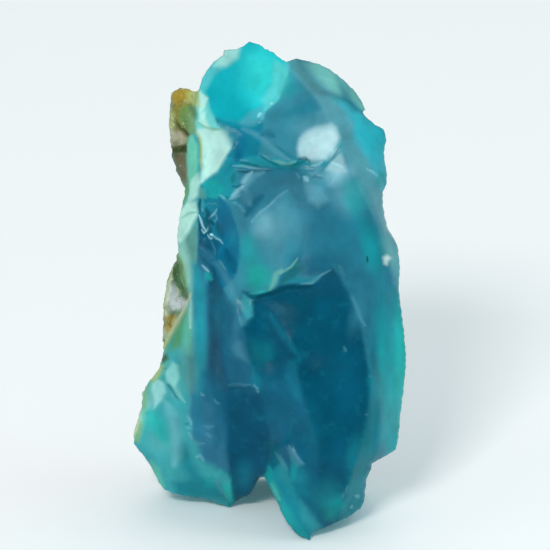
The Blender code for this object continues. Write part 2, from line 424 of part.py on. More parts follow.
def triangulate(points, runs, extra, rim_count):
    """Mesh the plane; return flat points, triangles, crease edges and known depths."""
    flat = [Vector(p[:2]) for p in points] + [Vector(p) for p in extra]
    edges = [(a, b) for run in runs for a, b in zip(run, run[1:]) if a != b]
    outline = [list(range(rim_count))]
    bridges = True
    while bridges:
        verts, out_edges, faces, from_verts, from_edges, _ = delaunay_2d_cdt(
            flat, edges, outline, 1, 1e-5)
        bridges = chord_middles(verts, faces, from_verts, rim_count)
        flat += bridges
    depth = np.full(len(verts), np.nan)
    for i, sources in enumerate(from_verts):
        known = [points[k][2] for k in sources if k < len(points)]
        if known:
            depth[i] = known[0]
    creases = set()
    crossing = {}
    for (a, b), sources in zip(out_edges, from_edges):
        inputs = [s for s in sources if s < len(edges)]
        if not inputs:
            continue
        creases.add(frozenset((a, b)))
        for end in (a, b):
            if np.isnan(depth[end]):
                crossing.setdefault(end, set()).update(inputs)
    for i, sources in crossing.items():
        guesses = []
        for s in sources:
            p, q = (points[k] for k in edges[s])
            span = (q - p)[:2]
            t = np.dot(np.array(verts[i]) - p[:2], span) / np.dot(span, span)
            guesses.append(p[2] + (q[2] - p[2]) * t)
        depth[i] = float(np.mean(guesses))
    origin = [next((k for k in sources if k < rim_count), None) for sources in from_verts]
    return np.array([tuple(v) for v in verts]), [tuple(f) for f in faces], creases, depth, origin


def facets_of(triangles, creases):
    """Number the facets: triangles joined across edges that are not creases."""
    owners = {}
    for t, tri in enumerate(triangles):
        for a, b in zip(tri, tri[1:] + tri[:1]):
            owners.setdefault(frozenset((a, b)), []).append(t)
    label = [-1] * len(triangles)
    current = 0
    for start in range(len(triangles)):
        if label[start] >= 0:
            continue
        label[start] = current
        stack = [start]
        while stack:
            tri = triangles[stack.pop()]
            for a, b in zip(tri, tri[1:] + tri[:1]):
                side = frozenset((a, b))
                if side in creases:
                    continue
                for other in owners[side]:
                    if label[other] < 0:
                        label[other] = current
                        stack.append(other)
        current += 1
    return np.array(label)


def stretch(flat, triangles, creases, depth, facets):
    """Fill in the unknown depths: membranes over the ridges, dished or domed facet by facet."""
    tri = np.array(triangles)
    label = facets_of(triangles, creases)
    a, b, c = (flat[tri[:, k]] for k in range(3))
    area = 0.5 * np.abs((b - a)[:, 0] * (c - a)[:, 1] - (b - a)[:, 1] * (c - a)[:, 0])
    rise = np.zeros(len(tri))
    middle = (a + b + c) / 3
    for seed, bulge in facets.values():
        hit = int(np.linalg.norm(middle - np.array(seed), axis=1).argmin())
        chosen = label == label[hit]
        rise[chosen] = 4 * math.pi * bulge / area[chosen].sum()
    count = len(flat)
    stiff = np.zeros((count, count))
    push = np.zeros(count)
    for k in range(3):
        i, j, o = tri[:, k], tri[:, (k + 1) % 3], tri[:, (k + 2) % 3]
        to_i, to_j = flat[i] - flat[o], flat[j] - flat[o]
        cross = np.abs(to_i[:, 0] * to_j[:, 1] - to_i[:, 1] * to_j[:, 0])
        weight = 0.5 * (to_i * to_j).sum(axis=1) / np.maximum(cross, 1e-9)
        np.add.at(stiff, (i, j), -weight)
        np.add.at(stiff, (j, i), -weight)
        np.add.at(stiff, (i, i), weight)
        np.add.at(stiff, (j, j), weight)
        np.add.at(push, tri[:, k], rise * area / 3)
    free = np.isnan(depth)
    fixed = ~free
    known = stiff[np.ix_(free, fixed)] @ depth[fixed]
    depth = depth.copy()
    depth[free] = np.linalg.solve(stiff[np.ix_(free, free)], push[free] - known)
    return depth


def sheet(ridges, facets, rim):
    """Return one side of the stone: its points, its triangles and each point's rim number."""
    points, runs = joined_lines(ridges, rim)
    extra = facet_points(points, rim)
    flat, triangles, creases, depth, origin = triangulate(points, runs, extra, len(rim))
    depth = stretch(flat, triangles, creases, depth, facets)
    return np.column_stack([flat, depth]), triangles, origin


def stand_up(marks):
    """Turn (u, v, w) marks in millimetres into the leaning stone's own metres."""
    u, v, w = marks.T
    y = v * SIN_LEAN - w * COS_LEAN
    z = v * COS_LEAN + w * SIN_LEAN
    z[np.abs(z) < 1e-6] = 0.0
    placed = np.column_stack([u, y, z]) * MM
    middle = (placed.min(axis=0) + placed.max(axis=0)) / 2
    placed[:, :2] -= middle[:2]
    return placed


def stone_mesh():
    """Join the front and the back sheet along the outline into one closed mesh."""
    rim = outline_points()
    front, front_tris, front_rim = sheet(FRONT_RIDGES, FRONT_FACETS, rim)
    back, back_tris, back_rim = sheet(BACK_RIDGES, BACK_FACETS, rim)
    at_rim = {number: i for i, number in enumerate(front_rim) if number is not None}
    index = {}
    added = []
    for i, number in enumerate(back_rim):
        if number in at_rim and number is not None:
            index[i] = at_rim[number]
        else:
            index[i] = len(front) + len(added)
            added.append(back[i])
    placed = stand_up(np.vstack([front, np.array(added)]))
    triangles = list(front_tris) + [tuple(index[k] for k in reversed(t)) for t in back_tris]
    mesh = bpy.data.meshes.new("chrysocolla_stone")
    mesh.from_pydata([tuple(p) for p in placed], [], triangles)
    work = bmesh.new()
    work.from_mesh(mesh)
    bmesh.ops.recalc_face_normals(work, faces=work.faces)
    work.to_mesh(mesh)
    work.free()
    return mesh


def stone_material():
    """Blue-green chrysocolla: waxy to glassy, slightly translucent at its edges."""
    material = bpy.data.materials.new("chrysocolla")
    material.use_nodes = True
    shader = material.node_tree.nodes["Principled BSDF"]
    shader.inputs["Base Color"].default_value = (0.01, 0.16, 0.25, 1.0)
    shader.inputs["Roughness"].default_value = 0.28
    shader.inputs["Metallic"].default_value = 0.0
    shader.inputs["IOR"].default_value = 1.5
    return material


def main():
    for old in list(bpy.data.objects):
        bpy.data.objects.remove(old)
    mesh = stone_mesh()
    mesh.materials.append(stone_material())
    stone = bpy.data.objects.new("chrysocolla_stone", mesh)
    bpy.context.scene.collection.objects.link(stone)


main()
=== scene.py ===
"""The look of the chrysocolla specimen: its fracture surfaces, colours, light and camera.

The stone is described in its own broad plane, as its solid is: u runs across it, v up along it
and w out of its front, in millimetres.  The same landmarks are meshed finer here, then given
ripples, chips and rind, and coloured by facet and by place.
"""
import math

import bpy
import numpy as np
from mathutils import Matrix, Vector, noise
from mathutils.geometry import delaunay_2d_cdt


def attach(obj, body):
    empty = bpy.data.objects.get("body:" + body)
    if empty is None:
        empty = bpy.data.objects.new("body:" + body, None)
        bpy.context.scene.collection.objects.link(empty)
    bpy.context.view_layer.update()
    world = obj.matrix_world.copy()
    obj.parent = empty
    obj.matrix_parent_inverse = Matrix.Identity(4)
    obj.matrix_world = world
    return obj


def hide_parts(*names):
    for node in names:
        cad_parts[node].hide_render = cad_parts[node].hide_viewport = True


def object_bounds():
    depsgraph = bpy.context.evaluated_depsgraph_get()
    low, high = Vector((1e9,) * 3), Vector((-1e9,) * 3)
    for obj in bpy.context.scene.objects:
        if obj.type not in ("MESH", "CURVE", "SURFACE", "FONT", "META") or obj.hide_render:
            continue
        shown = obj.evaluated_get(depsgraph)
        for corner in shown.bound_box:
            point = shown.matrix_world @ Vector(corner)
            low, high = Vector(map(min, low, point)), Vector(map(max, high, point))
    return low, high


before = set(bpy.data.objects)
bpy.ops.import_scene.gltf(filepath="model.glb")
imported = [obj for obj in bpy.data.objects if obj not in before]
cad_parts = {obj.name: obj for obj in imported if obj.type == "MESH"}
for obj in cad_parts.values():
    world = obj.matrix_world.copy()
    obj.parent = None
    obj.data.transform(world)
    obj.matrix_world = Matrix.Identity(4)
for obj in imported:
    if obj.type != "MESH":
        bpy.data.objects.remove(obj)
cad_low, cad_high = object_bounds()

MM = 0.001
NODE = "chrysocolla_stone"
LEAN_DEG = 18.0          # the broad face leans back from upright by this much
SPACING = 0.8            # distance between mesh points inside a facet, mm
RIDGE_STEP = 0.6         # distance between mesh points along a ridge, mm
RIM_STEP = 0.7           # longest mesh edge along the outline, mm
JOIN_REACH = 0.75        # a ridge that ends this close to another line is joined to it, mm
PASS_REACH = 0.45        # share of JOIN_REACH within which a ridge that passes by is joined
CLEAR_OF_LINES = 0.62    # facet points keep this share of SPACING away from every ridge
SAME_POINT = 1e-5        # points closer than this count as one, mm
INSIDE_ONLY = 1          # the mesher's mode that drops what lies outside the outline
NO_AREA = 1e-9           # stands in for the area of a triangle without one
SOLVER_STEPS = 3000      # the most steps that the solver for the depths takes
SOLVER_REST = 1e-14      # what it may leave unsolved at each point

SIN_LEAN = math.sin(math.radians(LEAN_DEG))
COS_LEAN = math.cos(math.radians(LEAN_DEG))


def floor(u, v):
    """Return a landmark of the stone that touches what it stands on."""
    return (u, v, -v * COS_LEAN / SIN_LEAN)


# The outline, clockwise from the top, in named runs.
OUTLINE = {
    "thin tip": [(-5.2, 100.2, -6.0), (-3.4, 99.6, -5.8), (-2.0, 98.8, -5.6), (-0.4, 97.8, -5.2),
        (0.8, 96.8, -4.8), (2.2, 96.0, -4.5)],
    "top shoulder": [(3.4, 96.5, -5.4), (4.2, 96.8, -6.0), (7.0, 96.2, -7.5), (9.0, 95.6, -8.5),
        (11.0, 94.6, -9.0), (12.6, 93.6, -9.5), (14.0, 92.4, -9.8), (15.4, 91.0, -9.8),
        (16.4, 89.8, -9.4), (17.6, 88.0, -8.6), (18.2, 86.4, -7.2), (17.7, 85.8, -5.8)],
    "right bump": [(18.2, 85.2, -6.0), (20.0, 83.6, -7.0), (21.8, 82.7, -7.6), (22.2, 82.0, -7.8),
        (22.4, 80.2, -7.6), (21.9, 77.8, -7.0), (22.2, 75.8, -6.6), (22.6, 73.8, -6.0),
        (22.5, 71.4, -5.0), (21.8, 69.8, -3.6)],
    "right waist": [(21.8, 67.2, -3.2), (22.2, 64.6, -3.0), (22.8, 62.6, -3.2), (24.2, 60.4, -4.4),
        (24.8, 58.8, -5.0), (25.2, 55.2, -5.8)],
    "right edge": [(25.0, 50.2, -6.0), (25.5, 46.2, -6.4), (26.0, 42.2, -6.8), (26.4, 37.8, -7.0),
        (26.4, 34.2, -7.2), (26.0, 30.2, -7.4), (25.4, 25.8, -7.8), (24.9, 20.2, -8.6),
        (24.4, 18.0, -9.4)],
    "right undercut": [(22.8, 17.0, -8.4), (19.7, 15.4, -5.0), (19.4, 14.2, -5.4), (18.6, 12.2, -6.2),
        (18.3, 10.2, -7.0), (18.2, 8.2, -8.0)],
    "right foot": [(17.2, 6.2, -8.4), (15.0, 4.6, -6.6), (13.0, 3.8, -4.4), (10.0, 2.4, -2.0),
        (7.6, 1.4, -1.2), floor(7.0, 0.0), (5.0, 0.8, -0.6), (3.6, 1.8, -1.0), (2.4, 3.4, -1.4),
        (1.6, 4.8, -1.8)],
    "notch": [(0.0, 8.0, -3.0), (-1.4, 10.8, -5.4), (-2.2, 12.6, -9.0), (-3.0, 12.2, -11.5),
        (-3.8, 10.6, -14.0), (-4.8, 9.0, -16.5), (-5.8, 8.4, -17.4)],
    "left foot": [(-7.8, 7.4, -18.6), floor(-9.2, 6.2), (-11.0, 6.8, -19.2), (-13.0, 7.6, -19.6),
        (-15.0, 8.0, -19.8), (-19.0, 8.6, -19.8), (-20.6, 9.0, -19.4)],
    "left lobe": [(-22.4, 9.8, -19.0), (-23.6, 11.2, -18.6), (-25.2, 14.6, -17.6), (-26.6, 16.6, -17.2),
        (-28.6, 19.2, -17.0), (-28.6, 21.4, -16.6), (-27.8, 24.0, -16.0), (-27.0, 26.8, -15.6),
        (-26.8, 29.4, -15.4), (-25.6, 31.8, -14.6), (-24.0, 33.8, -13.4), (-23.4, 34.8, -13.0),
        (-23.0, 36.8, -12.6), (-22.4, 38.2, -12.2)],
    "lower rind": [(-23.0, 40.2, -18.0), (-22.6, 43.2, -18.6), (-22.8, 46.6, -18.8),
        (-22.4, 50.2, -18.4), (-21.6, 53.2, -17.6), (-20.6, 55.8, -16.6)],
    "left flank": [(-19.6, 57.8, -11.0), (-19.8, 60.2, -10.6), (-19.4, 63.8, -10.0),
        (-19.0, 66.8, -9.6), (-18.2, 70.6, -9.4)],
    "upper rind": [(-19.0, 71.8, -13.0), (-20.0, 74.2, -14.6), (-21.0, 76.8, -15.6),
        (-21.2, 80.2, -16.0), (-21.4, 83.2, -16.0), (-21.4, 87.8, -15.6), (-20.8, 89.8, -15.0),
        (-19.2, 91.0, -14.0), (-17.4, 90.6, -12.6), (-15.8, 90.0, -11.0)],
    "tip, left": [(-15.2, 90.5, -6.0), (-14.8, 92.6, -5.6), (-13.8, 94.2, -5.6), (-12.4, 96.0, -5.8),
        (-10.4, 97.4, -6.0), (-10.2, 98.4, -6.2), (-7.4, 98.7, -6.0), (-6.2, 99.4, -6.0)],
}

FRONT_RIDGES = {
    "tip scar, right": [(2.2, 96.0, -4.5), (2.6, 95.0, -3.6), (2.4, 93.8, -3.0), (1.8, 92.2, -2.2),
        (0.8, 89.2, -1.4), (0.0, 87.8, -1.0), (-2.0, 86.2, -0.8), (-2.6, 84.4, -0.4)],
    "tip scar, lower": [(-2.6, 84.4, -0.4), (-5.0, 84.0, -0.6), (-8.6, 84.2, -1.4), (-10.6, 84.6, -2.0),
        (-12.2, 84.8, -2.6), (-13.0, 86.2, -3.2), (-13.4, 88.6, -4.0), (-15.2, 90.5, -6.0)],
    "window sill": [(-12.2, 84.8, -2.6), (-11.7, 83.4, -2.2), (-10.2, 82.2, -1.6)],
    "window crack": [(-15.8, 82.4, -4.6), (-14.0, 82.6, -3.9), (-12.2, 82.4, -3.0),
        (-10.2, 82.2, -1.6)],
    "window, right": [(-10.2, 82.2, -1.6), (-9.2, 80.6, -1.0), (-8.6, 79.0, -0.6), (-9.8, 77.0, -1.0),
        (-11.4, 74.2, -1.8), (-12.8, 73.2, -2.6), (-15.0, 71.4, -4.0)],
    "green seam": [(-15.8, 82.4, -4.6), (-14.9, 80.2, -4.3), (-14.8, 77.2, -4.2), (-14.4, 75.2, -4.0),
        (-14.8, 73.8, -4.2), (-15.0, 71.4, -4.0)],
    "seam foot": [(-15.8, 82.4, -4.6), (-15.9, 85.6, -5.4), (-15.2, 90.5, -6.0)],
    "left edge, upper": [(-15.8, 82.4, -4.6), (-16.9, 80.4, -6.4), (-17.5, 78.2, -8.0),
        (-17.7, 75.8, -8.8), (-17.6, 73.2, -9.0), (-18.2, 70.6, -9.4)],
    "rind crease, upper": [(-15.8, 90.0, -11.0), (-16.6, 87.2, -12.0), (-17.0, 84.6, -12.8),
        (-17.8, 81.8, -13.6), (-18.6, 78.6, -14.2), (-18.7, 75.6, -14.2), (-18.5, 73.4, -13.4),
        (-19.0, 71.8, -13.0)],
    "rind knob": [(-17.4, 90.6, -12.6), (-18.4, 88.4, -12.8), (-19.4, 86.0, -13.4),
        (-19.2, 83.4, -13.8), (-17.8, 81.8, -13.6)],
    "rind pit": [(-21.4, 83.2, -16.0), (-20.0, 82.2, -15.4), (-18.6, 78.6, -14.2)],
    "left arris": [(-15.0, 71.4, -4.0), (-15.3, 69.2, -3.6), (-15.6, 66.2, -3.4), (-15.7, 62.2, -3.4),
        (-15.8, 58.2, -3.6), (-16.4, 52.2, -4.2), (-16.9, 48.2, -4.8), (-17.2, 44.2, -5.4),
        (-17.6, 39.2, -6.2), (-17.6, 35.2, -6.8), (-17.4, 31.2, -7.6), (-17.0, 28.2, -8.2),
        (-17.4, 25.2, -9.0), (-16.8, 23.2, -9.4), (-17.0, 20.8, -10.0)],
    "rough line": [(-17.0, 20.8, -10.0), (-15.6, 19.2, -10.2), (-15.2, 17.2, -10.8),
        (-14.0, 15.6, -11.2), (-11.0, 14.2, -11.6), (-9.2, 13.4, -10.8)],
    "left edge, lower": [(-19.6, 57.8, -11.0), (-18.4, 55.8, -9.4), (-17.9, 53.2, -8.0),
        (-18.0, 50.4, -7.6), (-18.2, 48.2, -7.8), (-19.0, 45.4, -8.6), (-20.0, 43.2, -9.6),
        (-21.0, 41.4, -10.6), (-22.4, 38.2, -12.2)],
    "rind crease, lower": [(-20.6, 55.8, -16.6), (-19.2, 54.4, -16.6), (-18.8, 51.6, -16.6),
        (-19.0, 48.4, -16.8), (-19.8, 45.6, -17.0), (-20.8, 43.2, -17.2), (-21.8, 41.4, -17.4),
        (-23.0, 40.2, -18.0)],
    "rind rib": [(-20.6, 55.8, -16.6), (-20.9, 53.0, -15.8), (-21.4, 50.0, -15.8), (-21.8, 46.6, -16.0),
        (-21.6, 43.4, -16.6), (-21.8, 41.4, -17.4)],
    "lobe margin": [(-22.4, 38.2, -12.2), (-21.8, 36.4, -11.2), (-22.0, 34.4, -11.4),
        (-24.0, 31.4, -12.6), (-25.6, 28.6, -13.6), (-25.8, 25.8, -13.8), (-26.8, 22.6, -14.8),
        (-28.6, 21.4, -16.6)],
    "lobe crest": [(-25.8, 25.8, -13.8), (-23.0, 24.2, -11.6), (-21.6, 22.8, -11.0),
        (-20.6, 20.8, -10.8), (-20.0, 18.6, -11.0), (-19.8, 16.2, -11.9), (-20.6, 13.6, -13.8)],
    "lobe leaf": [(-24.0, 31.4, -12.6), (-22.2, 30.2, -10.6), (-23.0, 28.2, -11.2),
        (-25.8, 25.8, -13.8)],
    "lobe dark line": [(-22.0, 34.4, -11.4), (-20.6, 32.4, -9.9), (-20.0, 30.4, -9.6),
        (-19.4, 28.2, -9.6)],
    "splinter hollow": [(-11.0, 68.9, -0.7), (-11.6, 66.4, -1.7), (-12.0, 64.2, -2.4),
        (-11.5, 61.8, -2.0), (-10.9, 59.8, -1.3), (-11.6, 57.6, -1.5), (-12.6, 55.8, -1.8)],
    "splinter, upper": [(-15.6, 66.2, -3.4), (-14.6, 63.4, -4.4), (-13.2, 61.6, -4.0),
        (-10.9, 59.8, -1.3)],
    "splinter, lower": [(-15.8, 58.2, -3.6), (-13.9, 57.0, -3.4), (-12.6, 55.8, -1.8)],
    "blue face, right": [(-11.0, 68.9, -0.7), (-9.2, 67.0, 0.9), (-8.4, 65.0, 1.9), (-7.7, 63.0, 2.8),
        (-7.2, 60.8, 3.4), (-7.0, 58.2, 3.8), (-7.2, 55.8, 3.6), (-8.2, 52.6, 3.0),
        (-10.4, 50.4, 2.0)],
    "blue face, top": [(-15.0, 71.4, -4.0), (-13.0, 70.4, -2.3), (-11.0, 68.9, -0.7), (-7.8, 67.4, 1.8),
        (-6.0, 65.8, 3.4), (-4.6, 64.2, 4.8)],
    "dome ridge": [(-4.6, 64.2, 4.8), (-2.4, 66.2, 5.0), (-0.6, 67.8, 4.9), (2.4, 70.2, 4.6),
        (4.4, 67.2, 5.4), (5.2, 63.2, 6.2), (5.0, 59.2, 6.7), (4.6, 56.6, 7.0)],
    "step, top": [(-9.8, 77.0, -1.0), (-7.0, 76.4, 0.8), (-3.4, 77.0, 2.2), (-0.6, 76.6, 2.9),
        (1.8, 76.2, 3.5), (4.0, 75.9, 4.0), (5.4, 76.4, 4.2), (7.4, 76.4, 4.4), (10.4, 76.6, 4.6),
        (11.6, 78.2, 4.6), (13.0, 80.6, 4.5)],
    "step, foot": [(-11.4, 74.2, -1.8), (-8.2, 74.6, -0.8), (-4.0, 74.9, 0.7), (-0.6, 74.8, 1.7),
        (2.0, 75.0, 2.4), (4.4, 74.8, 3.0), (5.8, 75.3, 3.3), (7.6, 75.2, 3.6), (10.2, 75.2, 3.9),
        (13.9, 77.2, 4.6)],
    "step, chip": [(-8.2, 74.6, -0.8), (-6.6, 72.6, 0.4), (-7.6, 70.4, 0.6), (-7.8, 67.4, 1.8)],
    "rough fan": [(4.4, 74.8, 3.0), (6.6, 72.2, 4.4), (9.4, 70.8, 4.9), (11.6, 72.0, 4.9),
        (13.9, 77.2, 4.6)],
    "upper face, left": [(-2.6, 84.4, -0.4), (-2.4, 81.2, 1.0), (-2.9, 78.8, 1.7), (-3.4, 77.0, 2.2)],
    "upper face, brow": [(-2.0, 86.2, -0.8), (2.0, 84.4, 1.5), (5.4, 82.4, 2.9), (8.0, 82.7, 3.4),
        (11.6, 83.0, 4.0)],
    "long ridge": [(2.6, 95.0, -3.6), (5.0, 92.6, -1.6), (7.0, 90.2, 0.2), (9.0, 87.8, 1.8),
        (10.4, 85.2, 3.2), (11.6, 83.0, 4.0), (13.0, 80.6, 4.5), (13.6, 78.6, 4.6), (15.2, 74.2, 4.8),
        (17.2, 70.2, 4.4), (19.6, 65.8, 3.4), (20.8, 63.2, 2.4), (22.0, 60.2, 1.0), (22.8, 57.8, -0.4),
        (23.6, 54.4, -2.4), (24.4, 51.2, -4.4), (25.2, 48.6, -6.1)],
    "band, outer": [(4.2, 96.8, -6.0), (5.4, 93.8, -4.0), (7.2, 91.6, -2.4), (9.4, 89.8, -1.2),
        (12.0, 87.9, -0.2), (14.2, 86.0, 0.3), (15.4, 83.6, 0.9), (16.0, 80.2, 2.0), (18.0, 77.2, 2.0),
        (20.4, 73.2, 0.6), (21.8, 69.8, -3.6)],
    "shoulder line": [(9.4, 89.8, -1.2), (12.0, 89.2, -2.2), (14.4, 88.2, -3.4), (16.2, 86.9, -4.8),
        (17.7, 85.8, -5.8)],
    "shoulder slope": [(7.0, 96.2, -7.5), (8.6, 93.6, -5.2), (11.0, 91.2, -3.8), (14.4, 88.2, -3.4)],
    "lip, left": [(-8.2, 52.6, 3.0), (-6.9, 50.6, 4.6), (-5.2, 49.7, 5.6), (-3.4, 49.6, 6.3),
        (-0.6, 50.1, 7.2), (0.4, 51.0, 7.5), (1.0, 53.0, 7.7), (2.8, 54.3, 7.5), (4.6, 56.6, 7.0)],
    "lip, right": [(0.4, 51.0, 7.5), (1.8, 51.2, 7.0), (3.4, 51.5, 7.1), (6.0, 51.4, 7.5),
        (7.8, 51.6, 7.7), (9.0, 52.8, 7.6), (10.6, 53.9, 7.3), (11.8, 54.9, 7.0)],
    "lip foot": [(-6.0, 48.7, 3.6), (-4.6, 48.4, 3.8), (-1.8, 48.8, 4.3), (0.2, 49.4, 4.6),
        (3.4, 50.2, 5.0), (6.2, 50.1, 5.4), (8.2, 50.3, 5.8), (9.7, 51.7, 6.2), (11.8, 54.9, 7.0)],
    "wedge, right": [(-6.9, 50.6, 4.6), (-6.0, 48.7, 3.6), (-5.0, 46.8, 4.0), (-5.2, 45.0, 4.3),
        (-6.8, 43.2, 4.8)],
    "wedge, left": [(-12.6, 55.8, -1.8), (-11.6, 53.2, 0.4), (-10.4, 50.4, 2.0), (-8.6, 47.6, 3.6),
        (-7.7, 45.4, 4.4), (-6.8, 43.2, 4.8)],
    "strip, outer": [(-12.6, 55.8, -1.8), (-13.4, 51.6, -1.9), (-13.4, 48.2, -1.9), (-13.4, 40.2, -2.4),
        (-13.2, 34.2, -3.1), (-12.4, 28.6, -4.0)],
    "strip, inner": [(-10.4, 50.4, 2.0), (-10.7, 47.4, 1.5), (-10.6, 42.2, 1.8), (-10.6, 36.2, 1.4),
        (-10.0, 32.8, 0.8), (-9.4, 30.9, 0.5)],
    "middle ridge": [(-6.8, 43.2, 4.8), (-5.8, 40.8, 4.9), (-5.2, 37.4, 4.7), (-4.2, 34.2, 4.2),
        (-3.6, 30.8, 3.4)],
    "ledge": [(-12.4, 28.6, -4.0), (-11.0, 30.2, -1.6), (-9.4, 30.9, 0.5), (-7.0, 31.3, 1.9),
        (-4.8, 31.3, 3.0), (-3.6, 30.8, 3.4)],
    "ledge foot": [(-12.4, 28.6, -4.0), (-9.4, 29.7, -1.9), (-7.0, 30.1, -0.6), (-5.0, 29.9, 0.4),
        (-3.6, 30.8, 3.4)],
    "navy face, left": [(-12.4, 28.6, -4.0), (-11.4, 27.2, -3.6), (-10.6, 25.2, -3.6),
        (-10.2, 22.2, -4.4), (-9.8, 17.2, -7.0), (-9.2, 15.2, -8.8), (-9.2, 13.4, -10.8),
        (-8.6, 10.4, -14.2), (-7.8, 7.4, -18.6)],
    "flake": [(-9.2, 13.4, -10.8), (-11.0, 13.6, -11.8), (-12.4, 12.8, -13.4), (-11.6, 11.2, -14.5),
        (-10.6, 9.4, -16.2), (-9.2, 6.2, -19.1)],
    "right mass edge": [(-3.6, 30.8, 3.4), (-2.8, 28.2, 0.6), (-1.5, 24.2, -1.4), (-0.9, 19.2, -3.4),
        (-1.2, 15.2, -6.0), (-2.2, 12.6, -9.0)],
    "pocket, upper": [(-5.2, 45.0, 4.3), (-4.6, 48.4, 3.8)],
    "pocket, right": [(-4.6, 48.4, 3.8), (-0.6, 45.8, 4.6), (1.0, 43.8, 5.0), (2.2, 41.2, 5.3),
        (3.4, 39.2, 5.5), (4.0, 37.6, 5.6), (3.2, 36.0, 5.2)],
    "pocket, lower": [(-5.0, 36.0, 4.6), (-3.4, 35.4, 3.0), (-1.4, 35.4, 2.8), (1.4, 35.8, 3.8),
        (3.2, 36.0, 5.2)],
    "deep scar, left": [(3.2, 36.0, 5.2), (4.4, 33.2, 5.4), (5.6, 29.2, 5.5), (6.8, 25.2, 5.4),
        (7.8, 21.2, 5.0), (8.6, 16.2, 4.2), (8.8, 13.2, 3.6), (8.4, 9.8, 3.0), (9.2, 5.6, 1.8),
        (10.0, 2.4, -2.0)],
    "deep scar, strip": [(2.2, 41.2, 5.3), (4.8, 38.4, 5.2), (7.0, 36.6, 4.4)],
    "right ridge": [(11.8, 54.9, 7.0), (13.8, 52.2, 6.8), (15.4, 49.0, 6.6), (16.6, 46.2, 6.5),
        (17.4, 43.2, 6.4), (18.2, 39.2, 6.2), (19.0, 35.2, 5.9), (20.0, 31.2, 5.3), (20.6, 28.2, 4.5),
        (21.0, 24.2, 3.0), (21.0, 20.2, 0.6), (20.6, 17.6, -2.0), (19.7, 15.4, -5.0)],
    "deep scar, right": [(19.0, 35.2, 5.9), (19.2, 31.6, 5.8), (18.9, 28.2, 5.5), (18.0, 23.2, 4.9),
        (17.0, 19.6, 4.3), (16.0, 16.4, 3.6), (15.2, 13.4, 2.8), (14.2, 9.8, 1.4), (13.2, 6.8, -0.4),
        (13.0, 3.8, -4.4)],
    "foot bevel, left": [(-1.2, 15.2, -6.0), (-0.2, 12.2, -2.2), (1.8, 8.2, 0.6), (3.8, 4.6, 1.4),
        (5.4, 2.2, 1.2), (7.0, 0.0, 0.0)],
    "foot band": [(3.0, 12.6, 1.8), (4.4, 9.2, 2.3), (6.4, 6.0, 2.1), (8.0, 4.0, 1.5),
        (10.0, 2.4, -2.0)],
    "foot flake": [(-0.4, 19.6, -2.6), (1.0, 17.2, -0.6), (2.4, 14.6, 1.0), (3.0, 12.6, 1.8),
        (4.6, 13.4, 2.9), (5.4, 15.2, 3.4), (4.2, 17.2, 3.3), (2.4, 19.4, 2.9)],
}

# How far the middle of a facet stands out of (+) or is dished into (-) its ridges, mm.
FRONT_FACETS = {
    "tip scar": ((-6.0, 91.0), -0.9),
    "upper window": ((-13.9, 85.0), 0.2),
    "lower window": ((-12.0, 78.0), 0.5),
    "edge wall": ((-17.6, 80.8), 0.0),
    "upper rind": ((-19.9, 86.5), 0.8),
    "rind hollow": ((-19.6, 77.9), -0.3),
    "rind wall": ((-17.4, 86.8), 0.0),
    "lower rind": ((-20.7, 48.9), -0.7),
    "rind rib": ((-22.0, 47.6), 0.1),
    "rind crevice": ((-18.6, 48.9), 0.0),
    "left side": ((-18.8, 33.1), 1.2),
    "lobe leaf": ((-24.4, 28.9), 0.3),
    "lobe margin": ((-25.8, 29.3), 0.2),
    "hackly hollow": ((-12.8, 66.4), -0.5),
    "splinter bed": ((-13.7, 60.7), -0.3),
    "blue face": ((-9.7, 59.3), -0.5),
    "chip face": ((-9.3, 71.4), -0.4),
    "dome": ((-1.3, 59.4), 1.5),
    "right dome": ((14.3, 54.8), 2.0),
    "upper face": ((4.0, 80.6), 0.4),
    "upper face, left": ((-6.6, 80.6), -0.8),
    "brow": ((4.0, 87.9), -0.7),
    "band": ((16.4, 75.8), 0.2),
    "right bump": ((18.7, 80.6), 0.9),
    "shoulder": ((12.6, 91.7), 0.5),
    "shoulder slope": ((8.5, 92.5), -0.2),
    "step wall": ((1.1, 75.8), 0.0),
    "rough fan": ((9.4, 74.3), -0.3),
    "wedge": ((-7.2, 49.0), 0.2),
    "lip wall": ((2.3, 50.4), 0.0),
    "left face": ((-14.7, 33.4), 0.3),
    "middle strip": ((-11.9, 41.3), -0.4),
    "lilac strip": ((-7.6, 38.8), -0.3),
    "pocket": ((-1.3, 41.2), -1.4),
    "deep scar": ((10.2, 32.1), -1.5),
    "long face": ((4.0, 22.4), -0.5),
    "ledge wall": ((-7.8, 30.4), 0.0),
    "navy face": ((-5.5, 19.4), -0.7),
    "flake": ((-10.3, 10.3), 0.2),
    "foot edge": ((1.6, 7.4), 0.0),
    "foot band": ((3.3, 9.4), -0.2),
    "right foot": ((17.4, 15.8), 0.5),
}

